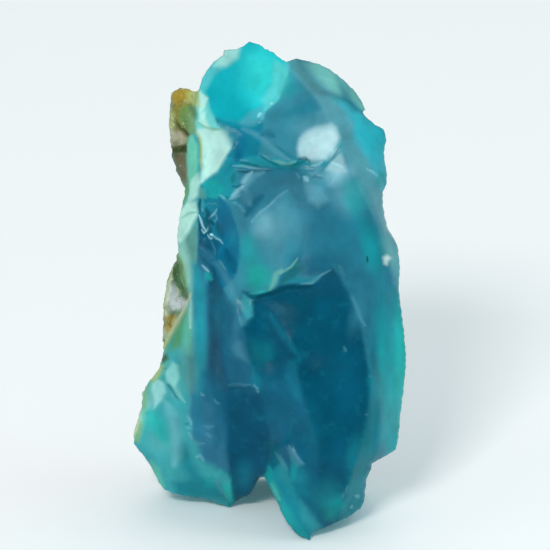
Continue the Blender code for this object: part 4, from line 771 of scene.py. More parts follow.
# Thin flakes and patches with an outline: colour, strength, softness of the edge and lift in
# millimetres, then the corners (u, v).
PLATES = [
    # tip
    ("deep turquoise", 0.8, 2, 0, [(-13.6, 88.6), (-8.0, 89.8), (-4.6, 86.6), (-3.4, 83.8),
        (-7.4, 82.6), (-10.6, 84.0), (-12.6, 85.8)]),
    ("bright turquoise", 0.9, 4, 0, [(-5.8, 97.0), (-2.6, 98.6), (1.4, 95.0), (0.2, 90.2), (-3.8, 88.2),
        (-5.8, 92.2)]),
    ("pale aqua", 0.5, 0.5, 0.1, [(-14.8, 93.4), (-13.2, 95.0), (-10.6, 96.8), (-9.4, 95.4),
        (-12.2, 93.2), (-13.6, 90.6), (-15.0, 89.2)]),
    ("mint", 0.7, 0.7, 0.1, [(-10.4, 98.4), (-7.0, 98.8), (-7.4, 96.8), (-9.8, 95.0), (-12.2, 95.0),
        (-12.0, 96.2)]),
    ("pale aqua", 0.5, 0.8, 0.1, [(-0.2, 96.2), (2.4, 95.0), (2.4, 91.8), (0.6, 88.8), (-1.8, 86.6),
        (-2.8, 88.2), (-0.6, 91.4)]),
    ("haze", 0.4, 0.5, 0.12, [(-5.4, 85.6), (-2.2, 87.4), (-2.4, 84.0), (-5.0, 82.8), (-7.4, 83.4)]),
    # windows and what is below them
    ("mint", 0.9, 0.3, 0.15, [(-15.0, 90.0), (-13.4, 88.6), (-14.2, 86.4), (-15.2, 85.2)]),
    ("mint", 0.9, 0.4, 0.1, [(-15.0, 85.4), (-14.0, 86.0), (-13.8, 84.4), (-12.6, 82.4), (-14.0, 82.6),
        (-15.2, 84.0)]),
    ("pale aqua", 0.8, 0.5, 0.05, [(-13.6, 86.6), (-12.4, 85.0), (-11.2, 82.6), (-12.6, 82.4),
        (-13.8, 84.4)]),
    ("bright teal", 0.6, 0.6, 0, [(-9.6, 82.0), (-7.8, 81.0), (-7.4, 78.2), (-8.6, 76.2),
        (-8.8, 79.8)]),
    ("blue", 0.6, 1, 0, [(-7.8, 82.6), (-5.8, 81.8), (-6.4, 76.2), (-8.6, 74.6), (-9.8, 73.8),
        (-8.0, 78.2)]),
    ("sea", 0.9, 0.3, 0.12, [(-14.4, 71.6), (-12.0, 72.4), (-10.2, 70.6), (-11.6, 68.4),
        (-13.8, 68.8)]),
    ("sage teal", 0.7, 0.4, 0.1, [(-15.6, 71.2), (-14.0, 70.4), (-13.8, 68.6), (-15.2, 68.4)]),
    # left edge and flank
    ("aqua green", 1, 0.35, 0.12, [(-17.4, 81.0), (-16.6, 81.4), (-15.6, 79.4), (-15.4, 75.0),
        (-16.0, 72.2), (-17.0, 70.2), (-17.8, 73.0), (-17.8, 78.2)]),
    ("pale mint", 0.8, 0.4, 0.1, [(-16.8, 72.2), (-15.4, 73.8), (-15.0, 71.8), (-15.4, 69.0),
        (-17.8, 67.0), (-17.2, 69.8)]),
    ("fern", 0.9, 0.3, -0.1, [(-17.2, 72.2), (-17.2, 69.8), (-18.0, 68.0), (-18.8, 66.8), (-19.0, 68.2),
        (-18.2, 70.2)]),
    ("pale mint", 0.9, 0.4, 0.2, [(-15.8, 68.0), (-15.4, 65.2), (-17.0, 62.2), (-18.4, 60.0),
        (-19.4, 59.4), (-19.8, 61.8), (-19.6, 63.8), (-19.0, 66.0), (-17.6, 67.6)]),
    ("sage teal", 0.9, 0.5, -0.1, [(-15.6, 63.8), (-15.6, 59.0), (-15.8, 55.6), (-16.8, 55.6),
        (-17.8, 58.2), (-18.2, 60.6), (-17.0, 62.2)]),
    ("pale sage", 0.7, 0.5, 0.1, [(-18.2, 60.2), (-17.4, 58.2), (-16.8, 54.6), (-16.6, 49.8),
        (-17.4, 50.6), (-18.4, 55.0), (-19.4, 58.2)]),
    ("bright teal", 0.8, 0.8, 0, [(-16.6, 55.4), (-15.2, 55.0), (-14.0, 50.2), (-13.8, 40.2),
        (-14.2, 29.8), (-15.4, 29.0), (-15.8, 38.2), (-16.0, 45.8), (-16.6, 50.2)]),
    ("fern", 0.8, 1, -0.05, [(-18.0, 46.6), (-18.0, 43.8), (-18.6, 39.0), (-21.4, 37.8),
        (-20.2, 42.2)]),
    ("aqua green", 0.5, 0.9, 0, [(-17.6, 48.2), (-16.6, 46.2), (-16.2, 41.0), (-16.6, 37.0),
        (-18.6, 37.8), (-18.0, 43.8)]),
    ("fern", 0.5, 0.5, 0, [(-17.4, 45.8), (-17.0, 42.2), (-17.2, 37.8), (-17.8, 37.8), (-17.6, 42.6)]),
    ("sage teal", 0.6, 1.4, 0, [(-19.0, 39.0), (-16.6, 39.2), (-15.6, 33.8), (-16.2, 29.8),
        (-17.8, 29.8), (-18.8, 32.6)]),
    # upper rind
    ("ochre", 0.9, 0.8, 0.2, [(-20.8, 90.0), (-19.0, 91.0), (-17.0, 90.8), (-15.6, 89.8), (-17.6, 87.4),
        (-19.4, 87.2), (-20.8, 88.4)]),
    ("lime", 0.8, 0.6, 0.1, [(-17.8, 90.0), (-15.2, 90.2), (-15.0, 86.8), (-16.4, 87.2),
        (-17.4, 88.2)]),
    ("fern dark", 0.6, 0.5, -0.1, [(-17.4, 87.8), (-16.4, 87.0), (-15.4, 85.4), (-15.8, 84.2),
        (-17.0, 85.4)]),
    ("lime", 0.7, 0.4, 0.1, [(-21.4, 86.8), (-20.2, 86.6), (-20.0, 83.4), (-20.8, 82.2),
        (-21.4, 83.4)]),
    ("bark", 0.9, 0.3, -0.3, [(-20.4, 85.2), (-19.6, 83.8), (-18.2, 82.6), (-17.2, 81.4), (-17.8, 80.8),
        (-19.4, 82.0), (-20.2, 83.4)]),
    ("clay", 0.9, 0.4, 0.1, [(-21.4, 82.4), (-19.0, 82.0), (-17.6, 80.8), (-18.2, 79.4),
        (-21.0, 78.8)]),
    ("bark", 0.95, 0.3, -0.2, [(-21.2, 78.8), (-17.8, 79.6), (-17.6, 77.8), (-21.0, 77.8)]),
    ("umber", 0.9, 0.5, 0, [(-20.8, 77.8), (-17.8, 77.8), (-17.4, 72.6), (-18.2, 70.6),
        (-19.6, 73.8)]),
    # lower rind
    ("fern dark", 0.9, 0.4, -0.2, [(-20.4, 56.8), (-19.4, 55.8), (-19.2, 52.2), (-17.6, 50.0),
        (-17.2, 48.0), (-18.6, 48.2), (-19.8, 50.2), (-20.6, 53.4)]),
    ("cloud", 0.95, 0.6, -0.1, [(-21.2, 51.0), (-20.2, 51.6), (-19.4, 49.0), (-17.6, 47.8),
        (-18.8, 46.4), (-21.0, 46.0), (-21.8, 48.2)]),
    ("ochre", 0.8, 0.5, 0.1, [(-22.4, 45.0), (-19.8, 45.2), (-20.0, 43.4), (-20.8, 42.0),
        (-22.0, 41.4)]),
    # left lobe
    ("moss", 0.8, 0.6, 0, [(-26.8, 31.4), (-25.8, 31.6), (-25.6, 29.2), (-25.8, 26.6), (-26.8, 26.2),
        (-27.2, 29.0)]),
    ("lobe teal", 0.5, 0.8, 0, [(-25.4, 31.2), (-24.2, 28.6), (-24.6, 26.4), (-25.6, 27.4),
        (-25.8, 29.8)]),
    ("leaf", 1, 0.3, 0.15, [(-24.6, 31.4), (-23.4, 32.2), (-22.2, 31.6), (-22.0, 29.8), (-22.8, 28.2),
        (-24.4, 26.2), (-24.0, 27.8), (-24.6, 30.0)]),
    ("pale leaf", 1, 0.4, 0.1, [(-22.0, 33.8), (-20.6, 35.8), (-19.4, 35.0), (-19.2, 32.6),
        (-20.0, 30.6), (-21.8, 31.8)]),
    ("lime", 0.8, 0.5, 0.05, [(-25.0, 32.2), (-23.4, 35.0), (-22.4, 35.0), (-23.0, 33.4),
        (-24.2, 31.6)]),
    ("bark", 0.8, 0.5, -0.1, [(-23.2, 36.8), (-21.8, 37.4), (-21.4, 36.4), (-22.4, 35.4),
        (-23.0, 35.8)]),
    ("bright sea", 0.8, 0.8, 0.1, [(-25.4, 26.6), (-24.4, 26.2), (-21.4, 22.2), (-20.6, 19.0),
        (-23.4, 20.2), (-26.0, 23.4)]),
    ("sea", 0.5, 1.2, 0, [(-24.0, 25.4), (-20.8, 22.2), (-20.6, 19.0), (-23.0, 19.8), (-25.0, 22.2)]),
    ("moss", 0.8, 0.5, 0, [(-27.6, 24.6), (-26.6, 23.0), (-27.4, 19.4), (-28.8, 20.0), (-28.2, 22.6)]),
    ("lobe teal", 0.9, 1.2, -0.1, [(-18.8, 19.8), (-17.8, 19.4), (-16.4, 15.4), (-13.4, 11.2),
        (-17.0, 11.4), (-18.6, 14.2), (-19.0, 17.0)]),
    ("lobe teal", 1, 1, 0, [(-20.6, 11.4), (-15.8, 12.2), (-11.8, 11.4), (-9.8, 8.2), (-15.0, 8.2),
        (-19.8, 9.0)]),
    ("aqua green", 0.8, 0.7, 0, [(-25.0, 15.8), (-23.4, 14.2), (-22.4, 10.6), (-23.4, 10.8),
        (-25.0, 13.6)]),
    ("bright sea", 0.95, 0.3, 0.12, [(-10.8, 11.4), (-9.0, 12.2), (-8.6, 8.6), (-8.2, 6.6),
        (-9.8, 8.4)]),
    ("lobe aqua", 0.9, 0.3, 0.12, [(-12.4, 13.4), (-11.0, 14.2), (-9.4, 13.2), (-8.8, 11.8),
        (-10.6, 11.0), (-12.0, 11.8)]),
    ("sea", 0.7, 0.4, 0.03, [(-14.4, 12.6), (-12.6, 12.6), (-12.4, 10.4), (-14.2, 10.2)]),
    # strips
    ("deep navy", 0.8, 0.6, -0.1, [(-12.2, 37.8), (-10.8, 38.2), (-10.0, 33.0), (-9.8, 29.8),
        (-11.6, 29.6), (-12.6, 33.4)]),
    ("teal", 0.5, 0.8, 0, [(-16.4, 29.2), (-14.8, 29.8), (-14.4, 24.2), (-15.0, 20.2), (-16.4, 23.2)]),
    ("dusk", 0.75, 1.2, 0, [(-15.0, 33.8), (-12.4, 34.6), (-9.6, 31.0), (-9.8, 25.8), (-10.2, 20.2),
        (-11.8, 18.6), (-12.6, 22.2), (-12.4, 26.6), (-14.6, 28.6)]),
    ("haze", 0.3, 0.8, 0.05, [(-7.6, 40.2), (-6.6, 39.8), (-5.4, 35.8), (-7.8, 37.0), (-8.6, 38.6)]),
    ("lobe aqua", 0.7, 0.4, 0.1, [(-6.2, 49.6), (-4.6, 48.2), (-4.4, 45.0), (-5.6, 44.2),
        (-6.8, 47.8)]),
    ("haze", 0.35, 0.8, 0.05, [(-12.2, 55.8), (-10.8, 55.8), (-8.6, 51.8), (-7.4, 48.2), (-8.2, 48.2),
        (-9.8, 51.4)]),
    ("green teal", 0.7, 1.5, -0.1, [(-4.2, 40.2), (-0.6, 39.8), (0.0, 37.0), (-1.4, 35.8), (-4.2, 35.0),
        (-5.0, 37.8)]),
    ("green teal", 0.6, 0.6, 0, [(-4.6, 34.6), (-2.6, 32.6), (-2.6, 29.8), (-3.8, 29.8),
        (-4.6, 31.8)]),
    ("teal", 0.5, 0.8, 0, [(2.6, 36.2), (5.0, 36.6), (4.6, 33.8), (5.4, 28.2), (3.8, 28.6),
        (2.2, 32.6)]),
    # dome, fan and bright patches; the first three haze patches are a painted highlight on the dome
    ("haze", 0.45, 3.4, 0.05, [(-4.6, 63.0), (-3.4, 65.0), (-1.0, 67.0), (1.8, 68.2), (4.2, 65.8),
        (5.0, 61.8), (2.6, 59.0), (-1.0, 59.0), (-3.4, 60.2)]),
    ("haze", 0.5, 1, 0, [(-4.4, 62.6), (-3.4, 64.4), (-1.6, 65.6), (-0.6, 63.8), (-1.0, 61.0),
        (-2.6, 60.0), (-4.0, 61.0)]),
    ("pale haze", 0.3, 1.6, 0, [(-3.8, 63.8), (-2.6, 65.2), (-1.0, 65.0), (-0.6, 62.6), (-1.8, 61.0),
        (-3.6, 61.8)]),
    ("sea", 0.6, 1.8, 0.05, [(-6.4, 60.2), (-4.6, 60.2), (-3.4, 58.2), (-2.2, 55.4), (-0.2, 53.8),
        (-0.6, 51.2), (-4.2, 49.4), (-5.6, 51.2), (-6.0, 55.2)]),
    ("sea green", 0.7, 1.6, 0, [(-5.0, 54.6), (-2.6, 54.6), (-1.4, 52.2), (-3.6, 50.2), (-5.2, 52.2)]),
    ("deep teal", 0.8, 0.5, 0, [(1.2, 53.0), (4.6, 55.8), (6.2, 54.6), (4.2, 53.0), (1.8, 51.2),
        (0.8, 50.8)]),
    ("bright teal", 0.5, 0.6, 0.05, [(1.8, 51.6), (4.6, 53.0), (8.6, 53.0), (7.4, 51.4)]),
    # glare: painted highlight of the key light on the bright face, over its real reflection
    ("glare", 0.65, 0.6, 0.04, [(4.4, 78.6), (4.8, 80.4), (6.4, 82.0), (8.2, 82.8), (11.2, 83.6),
        (12.4, 82.6), (13.0, 80.6), (12.4, 79.0), (11.2, 77.6), (10.4, 76.2), (7.4, 75.8), (6.0, 76.2),
        (4.6, 77.0)]),
    ("glare", 0.4, 0.7, 0, [(5.8, 79.0), (7.4, 81.0), (11.4, 82.2), (12.4, 80.6), (10.6, 77.8),
        (9.4, 76.2), (6.8, 76.6)]),
    ("glare", 0.5, 0.6, 0.1, [(11.0, 78.2), (12.8, 78.6), (13.8, 76.2), (14.2, 73.8), (12.6, 73.4),
        (10.2, 74.2), (11.0, 76.2)]),
    ("slate", 0.7, 1.6, 0, [(-7.8, 73.8), (-2.6, 73.4), (5.0, 73.8), (5.0, 69.4), (-2.6, 69.0),
        (-6.2, 67.4), (-7.8, 69.0)]),
    ("haze", 0.6, 0.8, 0.05, [(5.8, 71.8), (9.4, 71.0), (11.0, 68.2), (8.6, 66.6), (6.6, 68.2)]),
    ("sea", 0.5, 1.2, 0, [(13.4, 72.2), (16.6, 72.6), (19.0, 67.0), (16.2, 65.8), (13.8, 68.2)]),
    ("haze", 0.5, 0.6, 0.05, [(8.2, 85.8), (9.8, 86.2), (11.2, 83.4), (8.2, 83.0)]),
    ("teal", 0.5, 1, -0.05, [(3.0, 86.6), (7.4, 88.6), (8.6, 86.6), (6.2, 85.4), (1.4, 85.0)]),
    ("sea", 0.5, 1.2, 0, [(1.4, 93.4), (2.6, 93.0), (5.0, 90.2), (3.0, 89.0), (1.0, 89.8)]),
    ("ink", 0.5, 1.5, 0, [(-1.0, 49.8), (5.0, 50.6), (8.6, 49.8), (7.0, 44.2), (3.4, 42.2),
        (1.4, 46.2)]),
    # shoulder and bump
    ("green slate", 0.7, 0.7, 0, [(3.4, 94.6), (5.8, 93.8), (7.8, 91.8), (10.2, 89.8), (13.0, 87.8),
        (9.4, 89.0), (5.8, 91.8)]),
    ("green slate", 0.5, 0.8, 0, [(2.6, 95.8), (4.6, 96.8), (6.2, 95.8), (7.4, 93.0), (5.0, 93.4)]),
    ("grey green", 0.8, 1, 0.05, [(5.8, 95.8), (8.6, 95.8), (11.0, 94.2), (13.0, 91.4), (13.8, 88.8),
        (11.8, 89.4), (8.6, 91.8)]),
    ("teal", 0.35, 0.8, 0, [(12.2, 93.0), (13.8, 91.4), (15.0, 88.6), (13.8, 88.6), (12.6, 91.0)]),
    ("teal", 0.5, 0.7, 0, [(13.0, 91.4), (15.0, 89.8), (17.4, 85.8), (15.4, 85.8), (13.4, 88.2)]),
    ("grey green", 0.7, 0.5, 0.05, [(15.4, 90.6), (16.6, 89.0), (18.2, 85.8), (17.0, 86.6),
        (15.4, 89.0)]),
    ("haze", 0.6, 0.5, 0.05, [(14.2, 82.6), (15.4, 84.2), (15.8, 83.0), (14.6, 81.4)]),
    ("turquoise", 0.35, 1.6, 0.1, [(16.2, 84.2), (19.4, 83.4), (22.2, 82.2), (21.8, 77.0), (20.2, 76.2),
        (17.4, 79.8)]),
    ("sea", 0.6, 0.5, 0, [(20.6, 73.8), (22.2, 73.8), (22.4, 71.4), (20.6, 71.0)]),
    ("white", 0.8, 0.5, 0.03, [(21.6, 56.8), (22.4, 57.2), (23.2, 56.6), (22.6, 56.0), (22.4, 55.2),
        (21.8, 55.4)]),
    # right foot
    ("navy", 0.7, 0.6, 0, [(-2.2, 19.4), (0.2, 20.2), (1.2, 15.8), (-0.4, 14.2), (-1.8, 15.8)]),
    ("teal", 0.5, 1, 0, [(-0.6, 13.0), (2.2, 10.6), (4.2, 6.6), (5.4, 2.2), (3.4, 5.8), (1.0, 9.0)]),
    ("sea green", 0.5, 0.5, 0.05, [(-1.4, 13.4), (0.6, 10.2), (1.4, 6.6), (-0.2, 9.8)]),
    ("lobe aqua", 0.45, 0.8, 0.05, [(5.0, 8.2), (6.6, 7.0), (9.0, 3.0), (7.4, 1.8), (5.4, 4.2)]),
    ("sea", 0.6, 1.2, 0, [(9.8, 7.4), (13.0, 9.0), (14.2, 7.0), (11.8, 4.2), (10.0, 4.2)]),
    ("bright teal", 0.5, 1.4, 0, [(15.0, 12.2), (17.8, 13.0), (18.2, 9.4), (17.0, 6.6), (15.0, 8.2)]),
    ("haze", 0.36, 0.6, 0.06, [(2.6, 18.6), (3.8, 17.8), (5.6, 15.4), (4.4, 15.0), (3.2, 16.6)]),
    ("sea", 0.5, 0.6, 0.1, [(3.4, 16.6), (4.6, 15.0), (3.8, 11.8), (3.0, 12.2)]),
]

# Narrow marks: colour, strength, half width and lift in millimetres, then the points (u, v).
STROKES = [
    # glassy splinters in the hackly hollow; the glint, pale haze and haze strokes are painted glints on
    # them
    ("glint", 0.9, 0.18, 0.08, [(-15.2, 65.2), (-14.8, 64.0), (-14.4, 62.8), (-13.8, 62.0)]),
    ("glint", 0.7, 0.14, 0.06, [(-14.8, 62.4), (-14.2, 61.6), (-13.6, 62.2), (-13.4, 63.0)]),
    ("pale haze", 0.6, 0.2, 0.05, [(-13.4, 64.4), (-12.8, 65.0), (-12.2, 65.4), (-11.6, 66.4)]),
    ("haze", 0.3, 0.18, 0.03, [(-13.8, 67.2), (-13.2, 67.6), (-12.6, 67.4), (-12.0, 67.6),
        (-11.4, 66.8)]),
    ("haze", 0.6, 0.2, 0.05, [(-11.8, 65.4), (-11.6, 64.4), (-12.2, 63.8)]),
    ("haze", 0.35, 0.16, 0.03, [(-14.0, 63.8), (-13.6, 63.0), (-13.2, 62.4), (-13.0, 63.4)]),
    ("glint", 1, 0.22, 0.06, [(-13.0, 61.4), (-12.4, 61.2)]),
    ("pale haze", 0.8, 0.14, 0.06, [(-13.6, 61.4), (-13.2, 60.8), (-12.8, 60.4), (-12.4, 60.8)]),
    ("pale haze", 0.8, 0.15, 0.06, [(-12.4, 61.2), (-11.8, 60.6), (-11.0, 60.2), (-10.4, 59.4)]),
    ("haze", 0.35, 0.14, 0.03, [(-12.8, 60.2), (-12.4, 59.2), (-12.0, 58.2), (-12.0, 57.2)]),
    ("haze", 0.5, 0.12, 0.04, [(-14.4, 66.4), (-14.0, 65.6), (-14.2, 64.8)]),
    ("haze", 0.35, 0.12, 0.03, [(-11.2, 63.8), (-10.8, 62.6), (-11.2, 61.6)]),
    ("pale haze", 0.7, 0.2, 0.06, [(-14.6, 55.2), (-14.0, 54.6), (-13.2, 53.8)]),
    ("haze", 0.6, 0.14, 0.05, [(-11.2, 56.2), (-10.6, 55.4), (-9.8, 54.2)]),
    ("lobe aqua", 0.7, 0.4, 0, [(-14.6, 68.2), (-14.4, 66.4)]),
    ("haze", 0.6, 0.3, 0, [(-15.0, 66.6), (-14.4, 66.0)]),
    ("ink", 0.9, 0.3, -0.15, [(-15.0, 68.4), (-15.2, 67.2), (-15.0, 65.8)]),
    ("ink", 0.7, 0.7, -0.15, [(-13.8, 66.4), (-13.4, 65.0), (-13.6, 63.4), (-13.0, 61.8)]),
    ("ink", 0.8, 0.3, -0.1, [(-13.0, 64.0), (-12.2, 63.2)]),
    ("navy", 0.6, 0.9, -0.1, [(-14.8, 59.8), (-13.2, 58.6)]),
    ("navy", 0.7, 0.9, -0.1, [(-11.4, 63.4), (-10.6, 61.0)]),
    ("navy", 0.7, 0.8, 0, [(-9.8, 58.2), (-8.6, 55.6), (-8.0, 53.8)]),
    ("lilac", 0.8, 0.7, 0.05, [(-15.0, 58.6), (-13.6, 57.4), (-12.2, 56.6)]),
    ("deep navy", 0.7, 0.5, -0.1, [(-15.0, 57.0), (-13.8, 55.8), (-12.6, 54.6)]),
    ("sea", 0.8, 0.8, 0.05, [(-13.8, 53.4), (-12.8, 52.4)]),
    # edge of the dome over the hollow
    ("pale haze", 0.4, 0.2, 0.05, [(-11.0, 69.2), (-10.0, 68.4)]),
    ("haze", 0.8, 0.22, 0.08, [(-9.2, 68.2), (-8.0, 67.6), (-7.0, 67.0), (-6.0, 65.8)]),
    ("dusk", 0.7, 0.2, -0.1, [(-9.8, 69.0), (-9.2, 68.4), (-8.4, 67.8)]),
    ("slate", 0.7, 0.9, 0, [(-7.8, 67.0), (-6.4, 64.6), (-5.8, 62.2)]),
    ("pale haze", 0.35, 0.2, 0.03, [(-4.6, 63.8), (-3.4, 65.4), (-1.4, 66.8), (0.0, 68.2)]),
    ("dusk", 0.7, 0.8, -0.08, [(-5.8, 65.0), (-4.6, 67.2), (-2.6, 69.0)]),
    ("haze", 0.5, 0.3, 0.05, [(-1.0, 67.2), (0.6, 68.8), (2.6, 70.2)]),
    # steps between the upper face and the dome
    ("pale haze", 0.45, 0.18, 0.05, [(-8.4, 75.0), (-6.6, 75.0), (-4.6, 74.6), (-2.6, 74.4)]),
    ("haze", 0.5, 0.14, 0.04, [(-8.2, 74.4), (-7.0, 74.2), (-5.8, 74.2)]),
    ("haze", 0.8, 0.15, 0.06, [(-2.6, 74.4), (-0.6, 74.2)]),
    # ink strokes: painted shadow in the cracks under the steps
    ("ink", 0.6, 0.25, -0.1, [(-7.0, 75.6), (-5.4, 75.4), (-3.4, 75.0)]),
    ("ink", 0.7, 0.25, -0.1, [(-7.4, 74.0), (-5.4, 73.8), (-3.0, 74.0), (-0.6, 74.2)]),
    ("haze", 0.5, 0.2, 0.05, [(-7.0, 76.2), (-5.4, 76.0)]),
    ("grey green", 0.8, 0.45, 0.1, [(-0.4, 76.0), (1.0, 75.6), (2.4, 75.2), (4.0, 75.8)]),
    ("green teal", 0.9, 0.45, -0.1, [(-2.8, 77.0), (-1.0, 75.8), (1.0, 74.8), (3.2, 74.8), (5.0, 75.4),
        (6.2, 76.2)]),
    ("bright teal", 0.8, 0.25, 0.08, [(-3.4, 76.2), (-2.2, 75.8), (-0.8, 75.2)]),
    ("haze", 0.7, 0.2, 0.08, [(-2.4, 77.2), (-1.6, 76.6), (-0.8, 76.0)]),
    ("haze", 0.4, 0.6, 0.15, [(-6.6, 82.4), (-4.4, 81.6), (-2.6, 80.6), (-0.6, 78.6), (1.2, 77.2),
        (2.8, 76.2)]),
    ("teal", 0.6, 0.3, -0.08, [(0.0, 79.2), (1.6, 78.0), (3.0, 77.0), (4.2, 76.4)]),
    ("dusk", 0.5, 0.8, -0.05, [(-2.6, 81.2), (-1.4, 81.4), (-0.2, 81.0)]),
    # painted shadow under the step's ledge
    ("ink", 0.6, 0.3, -0.1, [(4.6, 76.2), (6.0, 76.6), (7.0, 75.8)]),
    ("dusk", 0.6, 0.8, -0.05, [(-8.0, 79.4), (-7.4, 77.4), (-7.6, 76.0)]),
    # cracked corner below the bright face
    ("slate", 0.8, 0.2, -0.1, [(13.2, 79.0), (12.2, 77.6), (11.2, 76.2), (10.0, 74.8), (9.2, 74.0)]),
    ("slate", 0.7, 0.18, -0.1, [(13.2, 78.0), (12.4, 77.2), (11.4, 76.0)]),
    # a painted glint on the hackles
    ("glint", 0.4, 0.3, 0.05, [(11.4, 75.6), (12.6, 75.2), (13.6, 74.6)]),
    ("pale haze", 0.7, 0.35, 0.05, [(7.2, 75.0), (8.4, 75.2), (9.4, 75.8)]),
    ("pale haze", 0.7, 0.5, 0.08, [(5.8, 72.8), (6.6, 72.0)]),
    ("haze", 0.6, 0.2, 0.05, [(4.2, 73.6), (5.0, 72.4)]),
    ("slate", 0.6, 0.3, -0.05, [(7.4, 72.6), (8.2, 73.0), (9.4, 72.6)]),
    ("haze", 0.7, 0.25, 0.05, [(6.8, 73.8), (7.6, 73.4), (8.6, 74.2)]),
    # chips beside the steps; their pale haze and haze strokes are painted glints
    ("pale haze", 0.6, 0.5, 0.04, [(-4.6, 73.8), (-5.4, 73.0), (-6.2, 71.8), (-6.6, 70.6)]),
    ("haze", 0.6, 0.7, 0.03, [(-2.2, 73.8), (-4.2, 73.2), (-5.4, 71.8), (-6.2, 70.2)]),
    ("pale haze", 0.7, 0.45, 0.05, [(-6.4, 70.8), (-7.2, 70.2), (-7.8, 69.6), (-8.6, 69.0)]),
    ("pale haze", 0.5, 0.3, 0.04, [(-6.8, 69.2), (-8.0, 68.8), (-9.2, 68.4)]),
    ("haze", 0.4, 0.9, 0, [(-6.4, 70.4), (-5.8, 69.0), (-5.0, 67.4)]),
    ("dusk", 0.8, 0.2, -0.12, [(-8.6, 71.0), (-7.6, 70.8), (-6.4, 71.4)]),
    ("deep teal", 0.6, 0.5, -0.1, [(-8.2, 73.4), (-8.6, 71.8)]),
    ("slate", 0.6, 1.4, 0, [(-6.6, 69.8), (-6.2, 67.8)]),
    # lip
    ("lip green", 0.5, 0.2, 0.03, [(1.0, 53.4), (2.2, 54.2), (3.2, 54.8), (4.0, 55.8), (4.6, 56.6)]),
    ("bright sea", 0.7, 0.25, 0, [(-5.2, 49.4), (-3.4, 49.6), (-1.8, 50.0), (-0.6, 50.4)]),
    ("lip green", 0.4, 0.5, 0, [(-1.0, 50.2), (-0.2, 51.8), (0.2, 53.4), (1.4, 54.2)]),
    ("haze", 0.6, 0.25, 0, [(5.0, 51.4), (7.4, 51.6), (9.2, 53.2), (11.2, 54.2)]),
    ("ink", 0.6, 0.5, 0, [(-3.4, 48.8), (-1.4, 49.6), (1.0, 50.4), (4.2, 51.0), (7.4, 51.0)]),
    ("haze", 0.4, 0.25, 0.05, [(12.6, 55.2), (13.2, 54.4), (14.0, 53.0)]),
    ("haze", 0.25, 0.4, 0, [(15.2, 49.0), (16.4, 46.6), (17.4, 43.8)]),
    ("teal", 0.5, 0.7, 0, [(-1.0, 45.4), (1.0, 42.2), (3.0, 39.4), (5.0, 36.8)]),
    # ledge, strips, foot and flake
    ("haze", 0.6, 0.18, 0.03, [(-4.2, 31.2), (-3.6, 30.6), (-3.4, 29.8)]),
    ("haze", 0.28, 0.2, 0.03, [(-9.2, 31.2), (-7.0, 31.4), (-4.6, 31.2)]),
    ("haze", 0.35, 0.2, 0.04, [(-12.4, 28.4), (-11.6, 27.6), (-11.0, 27.4)]),
    ("haze", 0.3, 0.5, 0, [(-7.0, 44.6), (-6.4, 43.6), (-5.8, 44.0)]),
    ("haze", 0.4, 0.25, 0.03, [(2.8, 19.0), (3.6, 18.0), (4.8, 16.4), (5.8, 15.4)]),
    ("aqua green", 0.5, 0.3, 0, [(-0.8, 11.6), (0.0, 10.0), (1.0, 8.2)]),
    ("haze", 0.25, 0.4, 0.02, [(0.0, 17.8), (1.2, 16.2), (2.6, 14.2)]),
    ("haze", 0.5, 0.2, 0.05, [(-12.4, 11.8), (-11.4, 11.0), (-10.4, 9.4), (-9.4, 7.8)]),
    # left lobe
    ("pale leaf", 0.6, 0.35, 0.06, [(-21.0, 31.6), (-20.2, 30.6), (-19.2, 29.0), (-18.2, 27.8)]),
    ("green teal", 0.8, 0.3, -0.1, [(-21.4, 31.2), (-20.6, 30.0), (-19.8, 28.6)]),
    ("pale haze", 0.3, 1.2, 0.08, [(-21.8, 27.4), (-20.6, 25.0), (-20.0, 21.0), (-19.8, 17.0),
        (-20.2, 15.0)]),
    ("pale haze", 0.35, 0.2, 0.04, [(-17.6, 25.0), (-17.0, 24.0), (-16.8, 23.2)]),
    ("pale haze", 0.25, 0.2, 0.04, [(-17.8, 22.6), (-16.8, 22.4)]),
    ("pale haze", 0.3, 0.25, 0.04, [(-17.4, 21.6), (-16.6, 20.4)]),
    ("haze", 0.35, 0.3, 0.04, [(-16.6, 20.0), (-15.6, 19.2), (-14.2, 19.4)]),
    ("pale haze", 0.35, 0.25, 0.04, [(-15.8, 16.6), (-15.0, 17.0), (-14.2, 15.8)]),
    ("haze", 0.5, 0.3, 0.03, [(-20.6, 24.2), (-19.2, 24.0)]),
    ("haze", 0.3, 0.3, 0.03, [(-14.4, 23.0), (-13.2, 22.6), (-12.2, 23.0)]),
    ("haze", 0.3, 0.3, 0.03, [(-13.8, 21.4), (-12.6, 20.6)]),
    ("ink", 0.5, 0.2, -0.08, [(-18.2, 23.4), (-17.2, 23.2)]),
    ("pale haze", 0.35, 0.2, 0.05, [(-15.0, 29.4), (-14.2, 29.0)]),
    ("chalk", 0.7, 0.35, 0.03, [(-27.0, 26.6), (-27.4, 24.2), (-28.0, 22.2), (-28.6, 20.6)]),
    ("chalk", 0.5, 0.25, 0.03, [(-23.0, 36.2), (-24.6, 33.4), (-25.8, 31.4), (-26.8, 29.0)]),
    # edges of the rind and flank
    ("lime", 0.9, 0.35, 0.08, [(-16.8, 49.6), (-18.2, 46.2), (-20.0, 43.2), (-21.6, 40.2),
        (-23.2, 37.0)]),
    ("chalk", 0.8, 0.25, 0.05, [(-16.8, 49.4), (-18.4, 46.2), (-20.2, 43.2), (-21.8, 40.2)]),
    ("lime", 0.8, 0.3, 0.05, [(-21.0, 55.0), (-21.8, 51.2), (-22.4, 47.4), (-22.4, 44.6)]),
    ("fern", 0.8, 0.3, 0.05, [(-19.4, 57.0), (-18.6, 54.6), (-18.2, 52.2), (-17.0, 49.6)]),
    ("moss", 0.6, 0.25, -0.1, [(-15.4, 83.8), (-14.0, 82.8), (-12.4, 82.4), (-10.6, 82.4)]),
